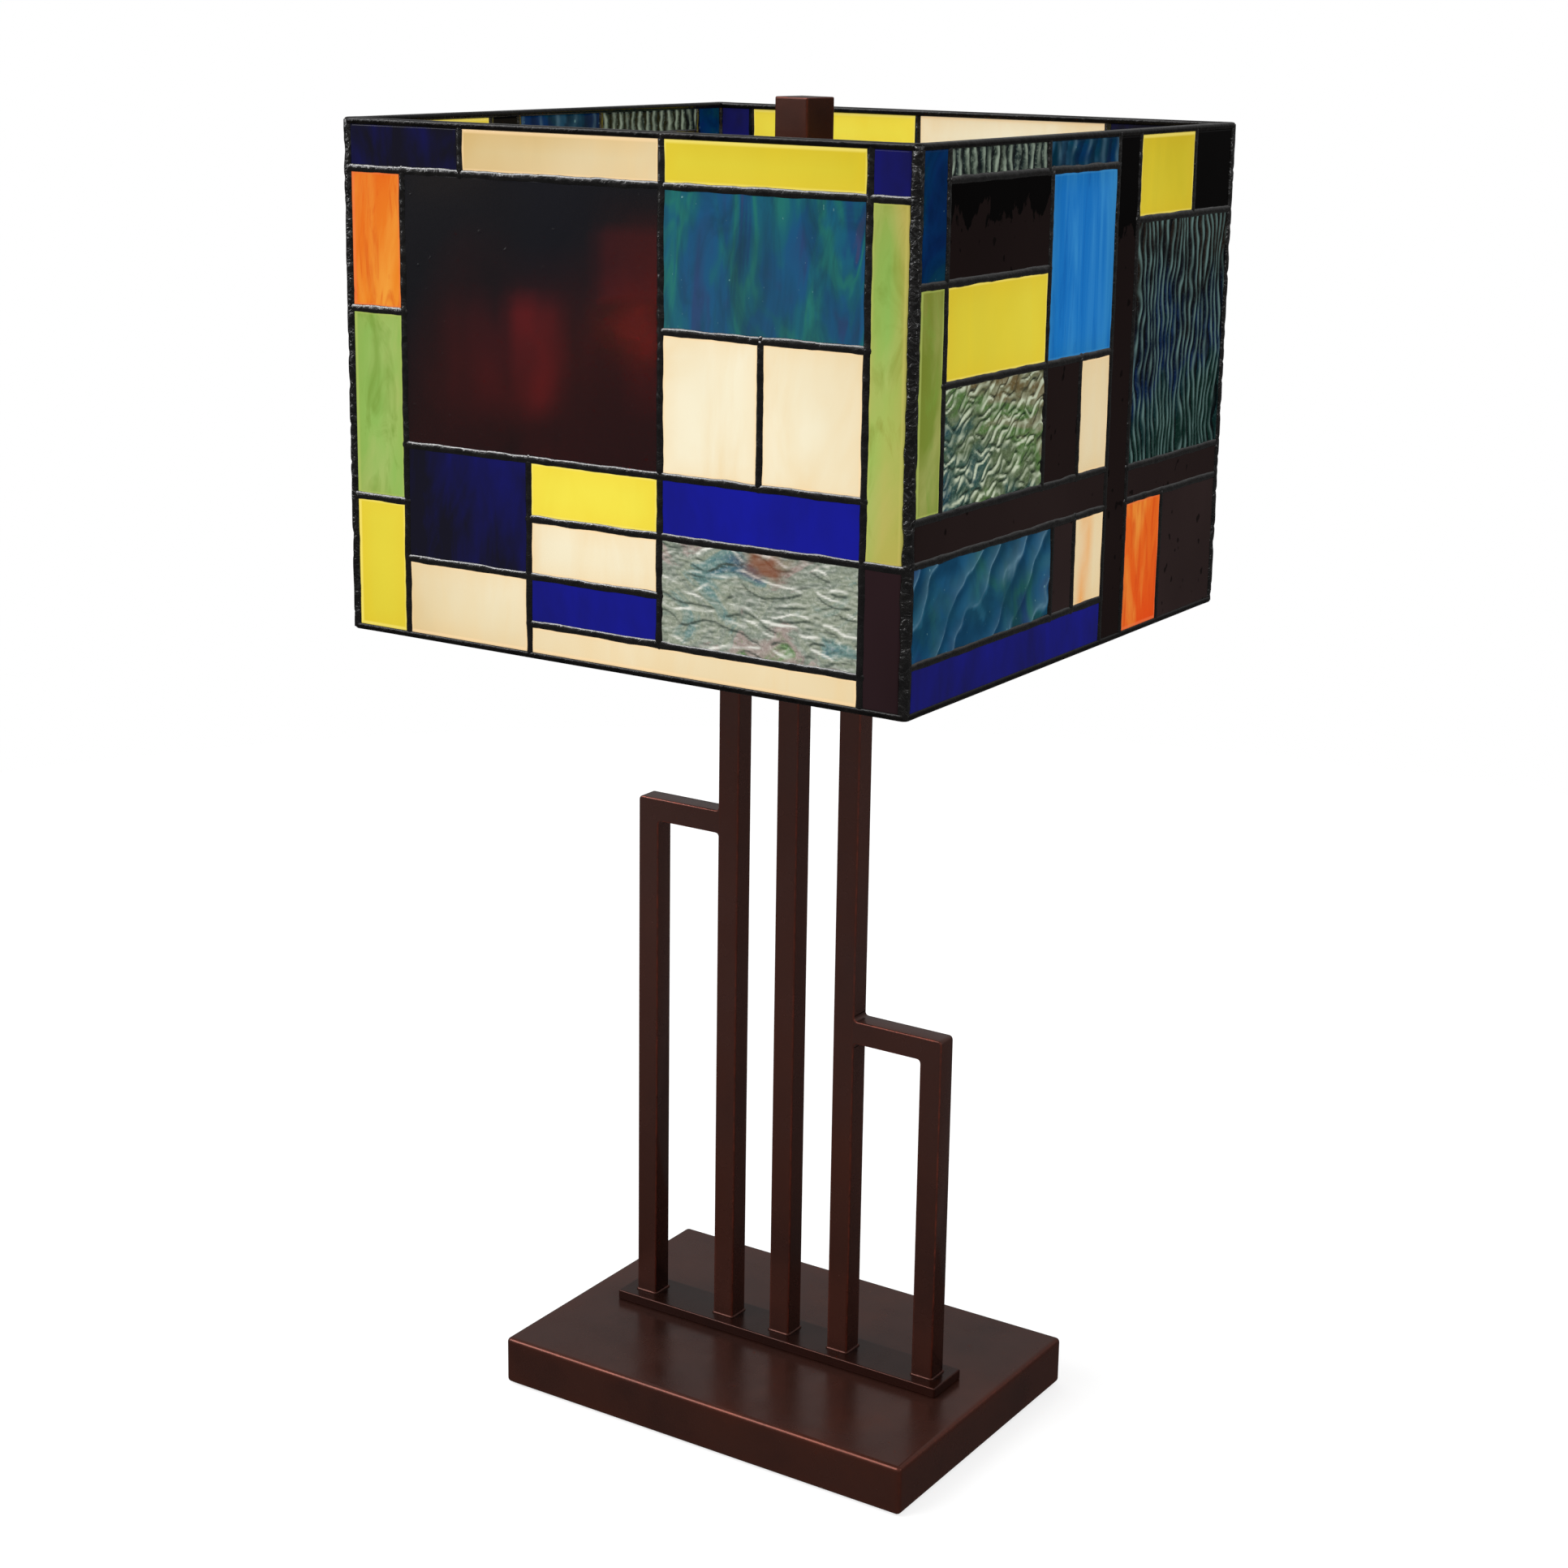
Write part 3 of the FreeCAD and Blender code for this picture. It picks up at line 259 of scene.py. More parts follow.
def lit_glass(name, colours, stretch=(26, 7, 26), wisp=0.75, veins=None, stain=(0, 0, 0)):
    """Opalescent sheet glowing from the bulbs behind, with soft streaks. Its colours are the
    body's away from the bulbs and before them, a painted glow beside the lead, and the streaks';
    over a few mm beside the lead a painted shade makes it dimmer and warmer."""
    dim, full, rim_glow, streak = (srgb(*colour) for colour in colours)
    g = Graph(name, Roughness=0.12, Specular_IOR_Level=0.12)
    wisps = pane_noise(g, stretch, 1.6, 4.0, 0.55, 0.6)
    cloud = pane_noise(g, (9, 6, 9), 1.8, 3.0, shift=0.61)
    body = g.mix(g.plus(g.attribute("lit"), g.remap(cloud, 0.3, 0.7, -0.1, 0.1), True), dim, full)
    body = g.mix(g.remap(wisps, 0.46, 0.74, 0.0, wisp), body, streak)
    if veins:
        drawn = pane_noise(g, tuple(2.3 * v for v in stretch), 1.4, 4.0, 0.6, 1.0, 0.83)
        body = g.mix(g.remap(drawn, 0.52, 0.7, 0.0, 0.7), body, srgb(*veins))
    # painted shade: beside the lead ("border") the glass is dimmer and warmer
    shaded_border = g.mix(1.0, body, (1.0, 0.84, 0.66), "MULTIPLY")
    body = g.mix(g.times(g.attribute("border"), 0.45), body, shaded_border)
    # painted glow: a thin bright line just beside the lead ("rim")
    body = g.mix(g.times(g.attribute("rim"), 0.6), body, rim_glow)
    body = g.mix(g.attribute("spot"), body, srgb(*stain))
    blisters = g.remap(pane_noise(g, (1, 1, 1), 700.0, 2.0, 0.4, shift=0.13), 0.78, 0.9, 0.0, 0.6)
    swell = pane_noise(g, (60, 40, 60), 1.0, 2.0)
    return glow_from(g, body, 0.38, LIT_GLOW, g.plus(swell, blisters))


def streaky_glass(name, hues, darks_and_shade, glow=0.5, stretch=(30, 8, 30), painted_highlight=None, gloss=0.1,
                  haze=0.16):
    """Many-coloured streaky sheet: hues drawn out along the sheet, dark folds between, and, when
    given, a painted highlight and a painted shade over its relief.
    """
    darks_and_shade = srgb(*darks_and_shade)
    g = Graph(name, Roughness=0.1, Specular_IOR_Level=gloss)
    hue = pane_noise(g, stretch, 1.5, 3.0, 0.5, 0.8)
    fold = pane_noise(g, tuple(1.5 * v for v in stretch), 1.3, 4.0, 0.6, 1.0, 0.7)
    body = g.ramp(g.remap(hue, 0.3, 0.7), painted(*hues))
    body = g.mix(g.remap(fold, 0.42, 0.7, 0.0, 0.75), body, darks_and_shade)
    body = g.mix(g.times(g.attribute("lit"), haze), body, (0.12, 0.26, 0.26))
    bubble = g.remap(pane_noise(g, (1, 0.6, 1), 640.0, 1.0, 0.3, shift=0.29), 0.775, 0.83)
    body = g.mix(g.times(bubble, 0.6), body, (0.25, 0.5, 0.48))
    # painted highlight where the relief leans to the light, painted shade in its hollows
    if painted_highlight:
        body = g.mix(g.times(g.attribute("shine"), 0.75), body, srgb(*painted_highlight))
        body = g.mix(g.times(g.attribute("hollow"), 0.55), body, darks_and_shade)
    return glow_from(g, body, 0.4, glow, g.plus(fold, bubble))


def ripple_glass(name, tints, painted_shade, painted_highlight, stretch=(20, 26, 20), crinkle=0.5, gloss=0.4,
                 metallic=0.25):
    """Iridised rippled sheet: tints drift across it, with painted shade in its hollows and painted
    highlights on its ridges.
    """
    painted_shade, painted_highlight = srgb(*painted_shade), srgb(*painted_highlight)
    g = Graph(name, Roughness=0.22, Metallic=metallic, Specular_IOR_Level=gloss)
    drift = g.plus(pane_noise(g, stretch, 1.4, 4.0, 0.6, 1.2), g.attribute("shade"))
    body = g.ramp(g.remap(drift, 0.22, 0.78), painted(*tints))
    fine = pane_noise(g, (520, 620, 520), 1.0, 3.0, 0.65, 0.8, 0.9)
    # painted highlight and painted shade over the fine crinkle, the hollows and the shine; the spot
    # is a rust cloud
    for factor, colour in ((g.remap(fine, 0.5, 0.72, 0.0, crinkle), painted_highlight),
                           (g.remap(fine, 0.46, 0.3, 0.0, crinkle), painted_shade),
                           (g.attribute("hollow"), painted_shade), (g.attribute("shine"), painted_highlight),
                           (g.attribute("spot"), srgb(138, 72, 42))):
        body = g.mix(factor, body, colour)
    return glow_from(g, body, 0.55, RIPPLE_GLOW, fine, 0.35)


def deep_glass(name, dim, full, glow=LIT_GLOW):
    """Cathedral sheet of one deep colour, brighter where the bulbs stand behind it."""
    g = Graph(name, Roughness=0.08, Specular_IOR_Level=0.06)
    cloud = pane_noise(g, (14, 8, 14), 1.6, 4.0, 0.55, 0.4, 0.41)
    lit = g.plus(g.attribute("lit"), g.remap(cloud, 0.3, 0.7, -0.2, 0.16), True)
    streak = pane_noise(g, (46, 12, 46), 1.5, 4.0, 0.6, 0.8, 0.77)
    lit = g.plus(lit, g.remap(streak, 0.35, 0.7, -0.05, 0.08), True)
    ripple = pane_noise(g, (50, 34, 50), 1.0, 3.0)
    return glow_from(g, g.mix(lit, srgb(*dim), srgb(*full)), 0.3, glow, ripple, 0.16, 0.0012)


def black_glass():
    """Near-black sheet: a dark sheen that breaks off raggedly below the darkest part, a painted
    reflection edge.
    """
    g = Graph("black_sheet", Roughness=0.06, Specular_IOR_Level=0.03)
    # painted reflection: on side walls a ragged line parts the black top from the dim sheen below
    ragged = pane_noise(g, (60, 26, 60), 1.4, 4.0, 0.6, 0.5, 0.53)
    above = g.plus(g.attribute("shade"), g.remap(ragged, 0.3, 0.7, -0.013, 0.013))
    drops = g.remap(pane_noise(g, (1, 0.7, 1), 190.0, 1.0, 0.4, shift=0.19), 0.70, 0.72)
    dark = g.math("MAXIMUM", g.remap(above, 0.0, 0.0012), g.times(drops, 0.7))
    cloud = pane_noise(g, (9, 7, 9), 1.6, 3.0, shift=0.41)
    sheen = g.mix(g.attribute("lit"), srgb(26, 18, 17), srgb(47, 36, 35))
    sheen = g.mix(g.remap(cloud, 0.35, 0.65, 0.0, 0.3), sheen, srgb(20, 14, 14))
    ripple = pane_noise(g, (40, 30, 40), 1.0, 3.0)
    return glow_from(g, g.mix(dark, sheen, srgb(5, 4, 4)), 0.3, BLACK_GLOW, ripple, 0.1, 0.001)


def clear_ruby():
    """See-through dark ruby: lit panes behind it show as dim red patches."""
    g = Graph("ruby_clear", Roughness=0.26, Transmission_Weight=0.9, IOR=1.45,
              Specular_IOR_Level=0.1)
    cloud = pane_noise(g, (11, 8, 11), 1.5, 4.0, 0.6, 0.5)
    blisters = g.remap(pane_noise(g, (1, 1, 1), 300.0, 1.0, 0.3, shift=0.29), 0.74, 0.8)
    tint = g.ramp(cloud, [(0.25, (0.02, 0.003, 0.004)), (0.5, (0.06, 0.004, 0.005)),
                          (0.75, (0.11, 0.006, 0.007))])
    tint = g.mix(g.attribute("shade"), tint, (0.006, 0.004, 0.006))
    ground = g.mix(g.attribute("shade"), srgb(29, 17, 17), srgb(17, 17, 22))
    mottled = g.times(g.attribute("spot"), g.remap(cloud, 0.25, 0.6, 0.55, 1.0))
    return g.set(Base_Color=tint, Emission_Color=g.mix(mottled, ground, srgb(128, 28, 30)),
                 Emission_Strength=LIT_GLOW,
                 Normal=g.bump(g.plus(cloud, g.times(blisters, 0.5)), 0.15, 0.0012))


def glass_materials():
    """One material for each look that a pane can have."""
    looks = [
        lit_glass("cream", [(200, 164, 80), (246, 237, 208), (255, 220, 170), (236, 206, 150)],
                  wisp=0.45, stain=(238, 152, 52)),
        lit_glass("yellow", [(192, 172, 24), (242, 226, 76), (250, 232, 120), (232, 206, 44)],
                  wisp=0.3),
        lit_glass("orange", [(222, 64, 16), (238, 158, 48), (240, 120, 70), (240, 170, 70)],
                  (46, 8, 46), veins=(206, 62, 14)),
        lit_glass("green", [(112, 124, 40), (146, 190, 96), (176, 190, 100), (190, 190, 120)],
                  (24, 9, 24), 0.55, (118, 150, 60), (214, 156, 78)),
        lit_glass("sky", [(8, 98, 176), (30, 124, 200), (60, 140, 200), (60, 146, 206)],
                  (60, 5, 60), veins=(8, 88, 166)),
        streaky_glass("teal", [(0.0, 34, 56, 110), (0.25, 8, 76, 124), (0.45, 8, 90, 112),
                               (0.62, 24, 112, 106), (0.78, 8, 88, 118), (0.9, 12, 66, 116),
                               (1.0, 52, 58, 106)], (4, 40, 64), 0.46, (36, 10, 36)),
        streaky_glass("water", [(0.0, 30, 64, 112), (0.3, 20, 80, 118), (0.5, 26, 84, 110),
                                (0.75, 34, 96, 92), (1.0, 28, 62, 108)], (6, 38, 62),
                      stretch=(16, 12, 16), painted_highlight=(120, 160, 180), gloss=0.04, haze=0.08),
        streaky_glass("deep_teal", [(0.0, 8, 40, 92), (0.35, 4, 50, 96), (0.6, 10, 62, 84),
                                    (0.8, 40, 82, 108), (1.0, 4, 44, 62)], (2, 18, 42), 0.44,
                      (18, 16, 18), painted_highlight=(92, 126, 142), gloss=0.03, haze=0.0),
        ripple_glass("silver", [(0.0, 64, 110, 128), (0.2, 112, 146, 142), (0.4, 154, 162, 142),
                                (0.55, 140, 150, 136), (0.7, 170, 154, 146),
                                (0.85, 112, 146, 92), (1.0, 118, 156, 136)],
                     (58, 70, 62), (236, 236, 226), crinkle=0.35),
        ripple_glass("silver_green", [(0.0, 28, 70, 98), (0.25, 52, 84, 76), (0.45, 86, 102, 70),
                                      (0.6, 80, 114, 58), (0.8, 116, 116, 86), (1.0, 104, 88, 54)],
                     (14, 28, 22), (206, 216, 188), (14, 18, 14), 0.2, 0.15, 0.0),
        ripple_glass("silver_dark", [(0.0, 12, 28, 58), (0.35, 24, 38, 40), (0.6, 32, 44, 38),
                                     (1.0, 56, 54, 42)],
                     (3, 7, 12), (170, 186, 166), (22, 8, 22), 0.3, 0.08, 0.0),
        ripple_glass("dark", [(0.0, 8, 36, 30), (0.25, 8, 38, 42), (0.45, 4, 27, 64),
                              (0.6, 6, 17, 38), (0.8, 18, 15, 18), (1.0, 32, 23, 18)],
                     (1, 3, 7), (106, 136, 132), (12, 9, 12), 0.1, 0.04, 0.0),
        deep_glass("cobalt", (25, 24, 36), (26, 30, 158)),
        deep_glass("ruby", (34, 22, 24), (42, 28, 31), 0.7)]
    return {made.name: made for made in looks} | {"black": black_glass(), "clear": clear_ruby()}


# ---------------------------------------------------------------- mesh helpers

def link_object(name, data):
    made = bpy.data.objects.new(name, data)
    bpy.context.scene.collection.objects.link(made)
    return made


def new_object(name, points, faces, materials, body):
    """A smooth-shaded mesh that rides on a body."""
    mesh = bpy.data.meshes.new(name)
    mesh.from_pydata([Vector(p) for p in points], [], faces)
    mesh.update()
    for material in materials:
        mesh.materials.append(material)
    mesh.polygons.foreach_set("use_smooth", [True] * len(mesh.polygons))
    made = link_object(name, mesh)
    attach(made, body)
    return made


def point_values(mesh, name, values):
    layer = mesh.attributes.new(name, "FLOAT", "POINT")
    layer.data.foreach_set("value", values)


class Build:
    """Points and faces gathered for one object."""

    def __init__(self):
        self.points, self.faces = [], []

    def rings(self, rings, closed):
        """Skin a run of equal rings; an open run gets end caps."""
        count, first, total = len(rings[0]), len(self.points), len(rings)
        for ring in rings:
            self.points += ring
        for i in range(total if closed else total - 1):
            here, there = first + i * count, first + ((i + 1) % total) * count
            for j in range(count):
                k = (j + 1) % count
                self.faces.append((here + j, here + k, there + k, there + j))
        if not closed:
            self.faces.append(tuple(reversed(range(first, first + count))))
            self.faces.append(tuple(range(first + (total - 1) * count, first + total * count)))

    def make(self, name, material, body):
        """The object, with every face turned outward."""
        made = new_object(name, self.points, self.faces, [material], body)
        shape = bmesh.new()
        shape.from_mesh(made.data)
        bmesh.ops.recalc_face_normals(shape, faces=shape.faces)
        shape.to_mesh(made.data)
        shape.free()
        return made


def wobble(*place):
    """Smooth noise about 0 at a place."""
    return noise.noise(Vector(place))


def unit(value):
    return max(0.0, min(1.0, value))


def bell(value, width):
    """1 at zero, fading smoothly to either side."""
    return math.exp(-(value / width) ** 2)


# ---------------------------------------------------------------- the shade's walls

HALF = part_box("top_rim")[1].x
Z_LOW, Z_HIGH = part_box("bottom_rim")[0].z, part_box("top_rim")[1].z
LENGTH, TALL = 2 * HALF, Z_HIGH - Z_LOW
LEAD_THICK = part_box("lattice_front")[1].y + HALF
GLASS_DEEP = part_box("glass_cream")[0].y + HALF
WALLS = ["front", "right", "back", "left"]


def out_of_wall(wall, x, y, z):
    """A point in a wall's own axes (along it, inward, up) as a point of the object."""
    u, v = x - HALF, y - HALF
    across = [(u, v), (-v, u), (-u, -v), (v, -u)][wall]
    return Vector((across[0], across[1], Z_LOW + z))


def into_wall(wall, point):
    """A point of the object in a wall's own axes."""
    a, b = point.x, point.y
    u, v = [(a, b), (b, -a), (-a, -b), (-b, a)][wall]
    return u + HALF, v + HALF, point.z - Z_LOW


def islands(mesh):
    """Low and high corners of each separate solid in a mesh."""
    leader = {}

    def find(key):
        while leader[key] != key:
            leader[key] = leader[leader[key]]
            key = leader[key]
        return key

    keys = [tuple(round(c * 20000) for c in vertex.co) for vertex in mesh.vertices]
    for key in keys:
        leader.setdefault(key, key)
    for face in mesh.polygons:
        first = find(keys[face.vertices[0]])
        for index in face.vertices[1:]:
            leader[find(keys[index])] = first
    boxes = {}
    for key, vertex in zip(keys, mesh.vertices):
        low, high = boxes.setdefault(find(key), (vertex.co.copy(), vertex.co.copy()))
        for axis in range(3):
            low[axis] = min(low[axis], vertex.co[axis])
            high[axis] = max(high[axis], vertex.co[axis])
    return list(boxes.values())


# middle of the light on a wall, and its strength there: front and back, then the sides
LIGHT_AT = [(0.165, 0.095, 1.0), (0.145, 0.090, 0.62)]
LIGHT_WIDE, LIGHT_TALL = 0.23, 0.19


class Pane:
    """One sheet of glass in its wall's own axes."""

    def __init__(self, glass, low, high):
        size, middle = high - low, (low + high) / 2
        facing_y = size.y < size.x
        self.wall = (0 if middle.y < 0 else 2) if facing_y else (1 if middle.x > 0 else 3)
        a, b = into_wall(self.wall, low), into_wall(self.wall, high)
        self.x0, self.x1 = sorted((a[0], b[0]))
        self.y0, self.y1 = sorted((a[1], b[1]))
        self.z0, self.z1 = sorted((a[2], b[2]))
        self.glass, self.look, self.relief = glass, glass, "calm"
        self.width, self.height = self.x1 - self.x0, self.z1 - self.z0
        self.seed = self.wall * 13.7 + self.x0 * 91 + self.z0 * 57
        self.boost = self.stain = 0.0

    def share(self, x, z):
        """How far across and up the pane a place is."""
        return (x - self.x0) / self.width, (z - self.z0) / self.height

    def light(self, x, z):
        """How strongly the bulbs shine through at a place on the wall."""
        cx, cz, top = LIGHT_AT[self.wall % 2]
        fade = 1 - ((x - cx) / LIGHT_WIDE) ** 2 - ((z - cz) / LIGHT_TALL) ** 2
        return unit(top * fade + self.boost)


def gather_panes():
    """All panes by glass and wall, each wall's in reading order."""
    panes = []
    for node in sorted(NODES):
        if node.startswith("glass_"):
            panes += [Pane(node[6:], low, high) for low, high in islands(NODES[node].data)]
    panes.sort(key=lambda p: (p.glass, p.wall, -round(p.z1, 3), round(p.x0, 3)))
    return panes


PANES = gather_panes()


def set_panes(glass, face, order, **facts):
    """Facts of one pane of a glass on both front-and-back (0) or both side (1) walls."""
    for wall in (face, face + 2):
        pane = [p for p in PANES if p.glass == glass and p.wall == wall][order]
        for key, value in facts.items():
            setattr(pane, key, value)


# light that single panes have over or under their wall's, by glass and face, then by order
BOOSTS = {
    ("cobalt", 0): {0: -0.42, 1: -0.05, 2: -0.66, 3: -0.12, 4: -0.16}, ("cobalt", 1): {0: -0.05},
    ("ruby", 1): {1: -0.35, 2: -0.4, 5: 0.5, 6: 0.6}, ("dark", 1): {0: -0.5},
    ("orange", 0): {0: 0.12}, ("orange", 1): {0: -0.25}, ("yellow", 0): {2: 0.12},
    ("yellow", 1): {1: 0.05}, ("green", 0): {0: 0.15, 1: 0.3}, ("green", 1): {0: -0.25},
    ("cream", 0): {0: -0.1}, ("cream", 1): {1: 0.05}}


def dress_panes():
    """Look, relief, stain and strength of light that single panes have."""
    for pane in PANES:
        if pane.glass == "ruby":
            pane.look = "clear" if pane.width * pane.height > 0.012 else "black"
        elif pane.glass == "silver":
            pane.relief = "crinkled"
        elif pane.glass == "dark":
            strip = pane.height > 5 * pane.width
            pane.look, pane.relief = ("black", "calm") if strip else ("dark", "upright")
    set_panes("silver", 1, 0, look="silver_dark", relief="coarse")
    set_panes("silver", 1, 1, look="silver_green", relief="hammered")
    set_panes("teal", 1, 0, look="deep_teal", relief="calm")
    set_panes("teal", 1, 1, look="deep_teal", relief="folded")
    set_panes("teal", 1, 2, look="water", relief="water")
    set_panes("ruby", 0, 1, look="ruby")
    set_panes("green", 0, 0, stain=0.42)
    set_panes("cream", 1, 1, stain=0.85)
    for (glass, face), rows in BOOSTS.items():
        for order, boost in rows.items():
            set_panes(glass, face, order, boost=boost)


dress_panes()


# ---------------------------------------------------------------- relief of the sheets
# Places here are in mm on the wall, and a pane's seed shifts its pattern.

RIDGE_HEIGHT = {"upright": 0.3, "coarse": 0.36, "folded": 0.34}
RIDGE_GLINT = {"upright": 0.13, "coarse": 0.16, "folded": 0.09}
POOL_LEVEL = 0.08
# how steep a face must be to catch the light fully, and which way it must lean
CATCH = {"hammered": (0.34, (-0.35, 0.94)), "crinkled": (0.2, (-0.3, 0.95))}
# the mesh's step over each relief, in mm
STEP = {"calm": 6.0, "water": 1.2, "folded": 1.2, "upright": 0.6, "coarse": 0.65,
        "hammered": 0.65, "crinkled": 0.6}


def ridge(value):
    """0 in the valleys, 1 on the crests of evenly repeating ridges."""
    return 1 - abs(2 * (value - math.floor(value)) - 1)


def upright_place(kind, x, z, seed):
    """Where a place stands in the run of upright ridges, in ridges."""
    if kind == "upright":
        warp = 5.5 * wobble(x / 19, z / 30, seed) + 2.6 * wobble(x / 8, z / 11, seed + 5)
        return (x + warp) / 4.5
    if kind == "coarse":
        return (x + 2.4 * wobble(x / 9, z / 9, seed) + 1.0 * wobble(x / 3, z / 3, seed + 5)) / 5.9
    return (x + 3.5 * wobble(x / 15, z / 9, seed)) / 13.5


def wave_part(x, z, seed):
    """Where a place stands between one slanting wave's trough (0) and its top (near 1)."""
    bend = 14 * wobble(x / 24, z / 24, seed) + 4.0 * wobble(x / 9, z / 9, seed + 5)
    place = (0.75 * x - 0.66 * z + bend) / 18
    return place - math.floor(place)


def pool_field(x, z, seed):
    """Long level pools in the crinkled sheet, where this is over POOL_LEVEL."""
    sway = 3.4 * wobble(x / 17, z / 13, seed)
    return wobble((x + sway) / 12, (z + 0.12 * x + sway) / 3.7, seed)


def relief(kind, x, z, seed):
    """Rise of a sheet's face over its mean plane in mm."""
    if kind == "calm":
        return 0.08 * wobble(x / 17, z / 26, seed)
    if kind in RIDGE_HEIGHT:
        return RIDGE_HEIGHT[kind] * (2 * ridge(upright_place(kind, x, z, seed)) ** 1.2 - 1)
    if kind == "water":
        part = wave_part(x, z, seed)
        return 0.7 * (part / 0.85 if part < 0.85 else (1 - part) / 0.15) - 0.35
    if kind == "hammered":
        along, over = x + 0.45 * z, z - 0.45 * x
        bend = 3.0 * wobble(x / 7, z / 7, seed)
        worm = min(1.0, 3.0 * abs(wobble((along + bend) / 8, (over + bend) / 4.4, seed)))
        return 0.6 * worm + 0.3 * wobble(along / 10, over / 5, seed + 4) - 0.35
    grain = wobble(x / 3.2, z / 1.1, seed + 3)
    bank = 1 / (1 + math.exp(-(pool_field(x, z, seed) - POOL_LEVEL) * 22))
    return 0.28 * bank + 0.12 * grain * (1 - 0.6 * bank)


def catch_light(kind, x, z, seed):
    """How far a face leans to the light, for a painted highlight (shine), and sinks or turns away,
    for a painted shade (hollow).
    """
    if kind in RIDGE_HEIGHT:
        place = upright_place(kind, x, z, seed)
        part = place - math.floor(place)
        power = 0.7 + 0.9 * wobble(x / 7, z / 10, seed + 9) + 0.5 * wobble(place * 3, z / 6, seed)
        line = bell(part - 0.42, RIDGE_GLINT[kind]) * unit(power)
        hollow = bell(part - 0.88, 0.40 if kind == "upright" else 0.30)
        return (0.7 if kind == "coarse" else 0.85) * line, 0.97 * hollow
    if kind == "water":
        part = wave_part(x, z, seed)
        patch = unit(0.55 + 1.5 * wobble(x / 21, z / 17, seed + 21))
        swell = 0.42 * part ** 3 if part < 0.9 else 0.0
        return patch * (0.5 * bell(part - 0.9, 0.045) + swell), 0.8 * bell(part - 0.1, 0.24)
    if kind not in CATCH:
        return 0.0, 0.0
    steep, (lean_x, lean_z) = CATCH[kind]
    reach = 0.35
    slope = (relief(kind, x - lean_x * reach, z - lean_z * reach, seed)
             - relief(kind, x + lean_x * reach, z + lean_z * reach, seed)) / (2 * reach * steep)
    patch = 0.75 + 0.7 * wobble(x / 11, z / 8, seed + 21)
    return 0.95 * unit(slope * patch) ** 1.3, 0.85 * unit(-slope * 1.1 - 0.05)


# ---------------------------------------------------------------- marks on the panes

MARKS = ("seed", "lit", "rim", "border", "shade", "shine", "hollow", "spot")
LAP = 1.0 * MM
NOWHERE = -0.1


def sheen_cut(pane, z):
    """Height above the ragged line of a painted reflection edge, over which a black pane on a side
    wall is darkest.
    """
    if pane.wall % 2 == 0:
        return NOWHERE
    if pane.z1 > TALL - 6 * MM:
        return z - (TALL - (0.045 if pane.height > 0.1 else 0.5))
    if pane.z0 > 0.15:
        return z - (pane.z0 + 0.6 * pane.height)
    return NOWHERE


def pane_shade(pane, x, z):
    """Slow change of tone over a pane: bands, a cool upper corner, and the painted reflection edge
    of black sheets.
    """
    across, up = pane.share(x, z)
    if pane.look == "dark":
        return 0.85 * up - 0.42 + 0.1 * wobble(x * 40, z * 30, 3)
    if pane.look == "clear":
        return unit(2.2 * up - 1.0 * across - 0.25 + 0.6 * wobble(x * 25, z * 25, 5))
    if pane.look == "silver_green":
        return 0.3 * (up + across) - 0.28
    return sheen_cut(pane, z) if pane.look == "black" else 0.0


def soft_box(value, low, high, blur):
    """1 between two places, fading to 0 over blur on either side."""
    rise = unit((value - low) / blur + 0.5)
    fall = unit((high - value) / blur + 0.5)
    return rise * rise * (3 - 2 * rise) * fall * fall * (3 - 2 * fall)


def ruby_glow(across, up, x, z):
    """Two warm glows in the large ruby pane, with fainter ones beside and below them."""
    ragged = 0.05 * wobble(x * 60, z * 40, 7)
    bulb = soft_box(across + ragged, 0.42, 0.62, 0.12) * soft_box(up, 0.18, 0.58, 0.14)
    beside = soft_box(across + ragged, 0.20, 0.50, 0.2) * soft_box(up, 0.16, 0.54, 0.2)
    edge = soft_box(across, 0.77, 1.2, 0.06) * soft_box(up + 0.5 * ragged, 0.60, 0.86, 0.06)
    low = soft_box(across, 0.88, 1.2, 0.1) * soft_box(up, 0.22, 0.46, 0.14)
    streak = 0.75 + 0.6 * wobble(x * 150, z * 30, 4)
    return max(0.42 * bulb * streak, 0.2 * beside * streak, 0.18 * edge, 0.08 * low)


def pane_spot(pane, x, z):
    """A glow, an orange vein or cloud, or a rust cloud in the few panes that have one."""
    across, up = pane.share(x, z)
    if pane.look == "clear":
        return ruby_glow(across, up, x, z)
    if pane.stain and pane.glass == "cream":
        vein = bell(across - 0.36 - 0.1 * wobble(z * 30, 4, 1), 0.14 + 0.08 * wobble(z * 40, 9, 2))
        return pane.stain * vein * (0.8 + 0.6 * wobble(x * 300, z * 40, 3))
    if pane.stain:
        where = wobble(x * 90, z * 9, pane.seed) + 0.5 * wobble(x * 25, z * 14, 3)
        return pane.stain * unit(0.6 + 1.3 * where)
    if pane.look != "silver":
        return 0.0
    cloud = math.exp(-((across - 0.53) / 0.10) ** 2 - ((up - 0.88) / 0.13) ** 2)
    return max(0.0, min(0.8, cloud * (1.0 + 1.1 * wobble(x * 160, z * 220, 2))))


def pane_marks(pane, side, x, z, edge):
    """The values of MARKS at one point, which lies edge from the pane's nearest border."""
    shine, hollow = catch_light(pane.relief, x / MM, z / MM, pane.seed)
    # the inner faces of cream and yellow panes are painted brighter, as they face the bulbs
    inside = 0.5 if side == 1 and pane.glass in ("cream", "yellow") else 0.0
    return (pane.seed, min(1.0, pane.light(x, z) + inside), unit(1.0 - (edge - LAP) / (0.9 * MM)),
            math.exp(-max(0, edge - LAP) / (5 * MM)), pane_shade(pane, x, z), shine, hollow,
            pane_spot(pane, x, z))


# ---------------------------------------------------------------- glass

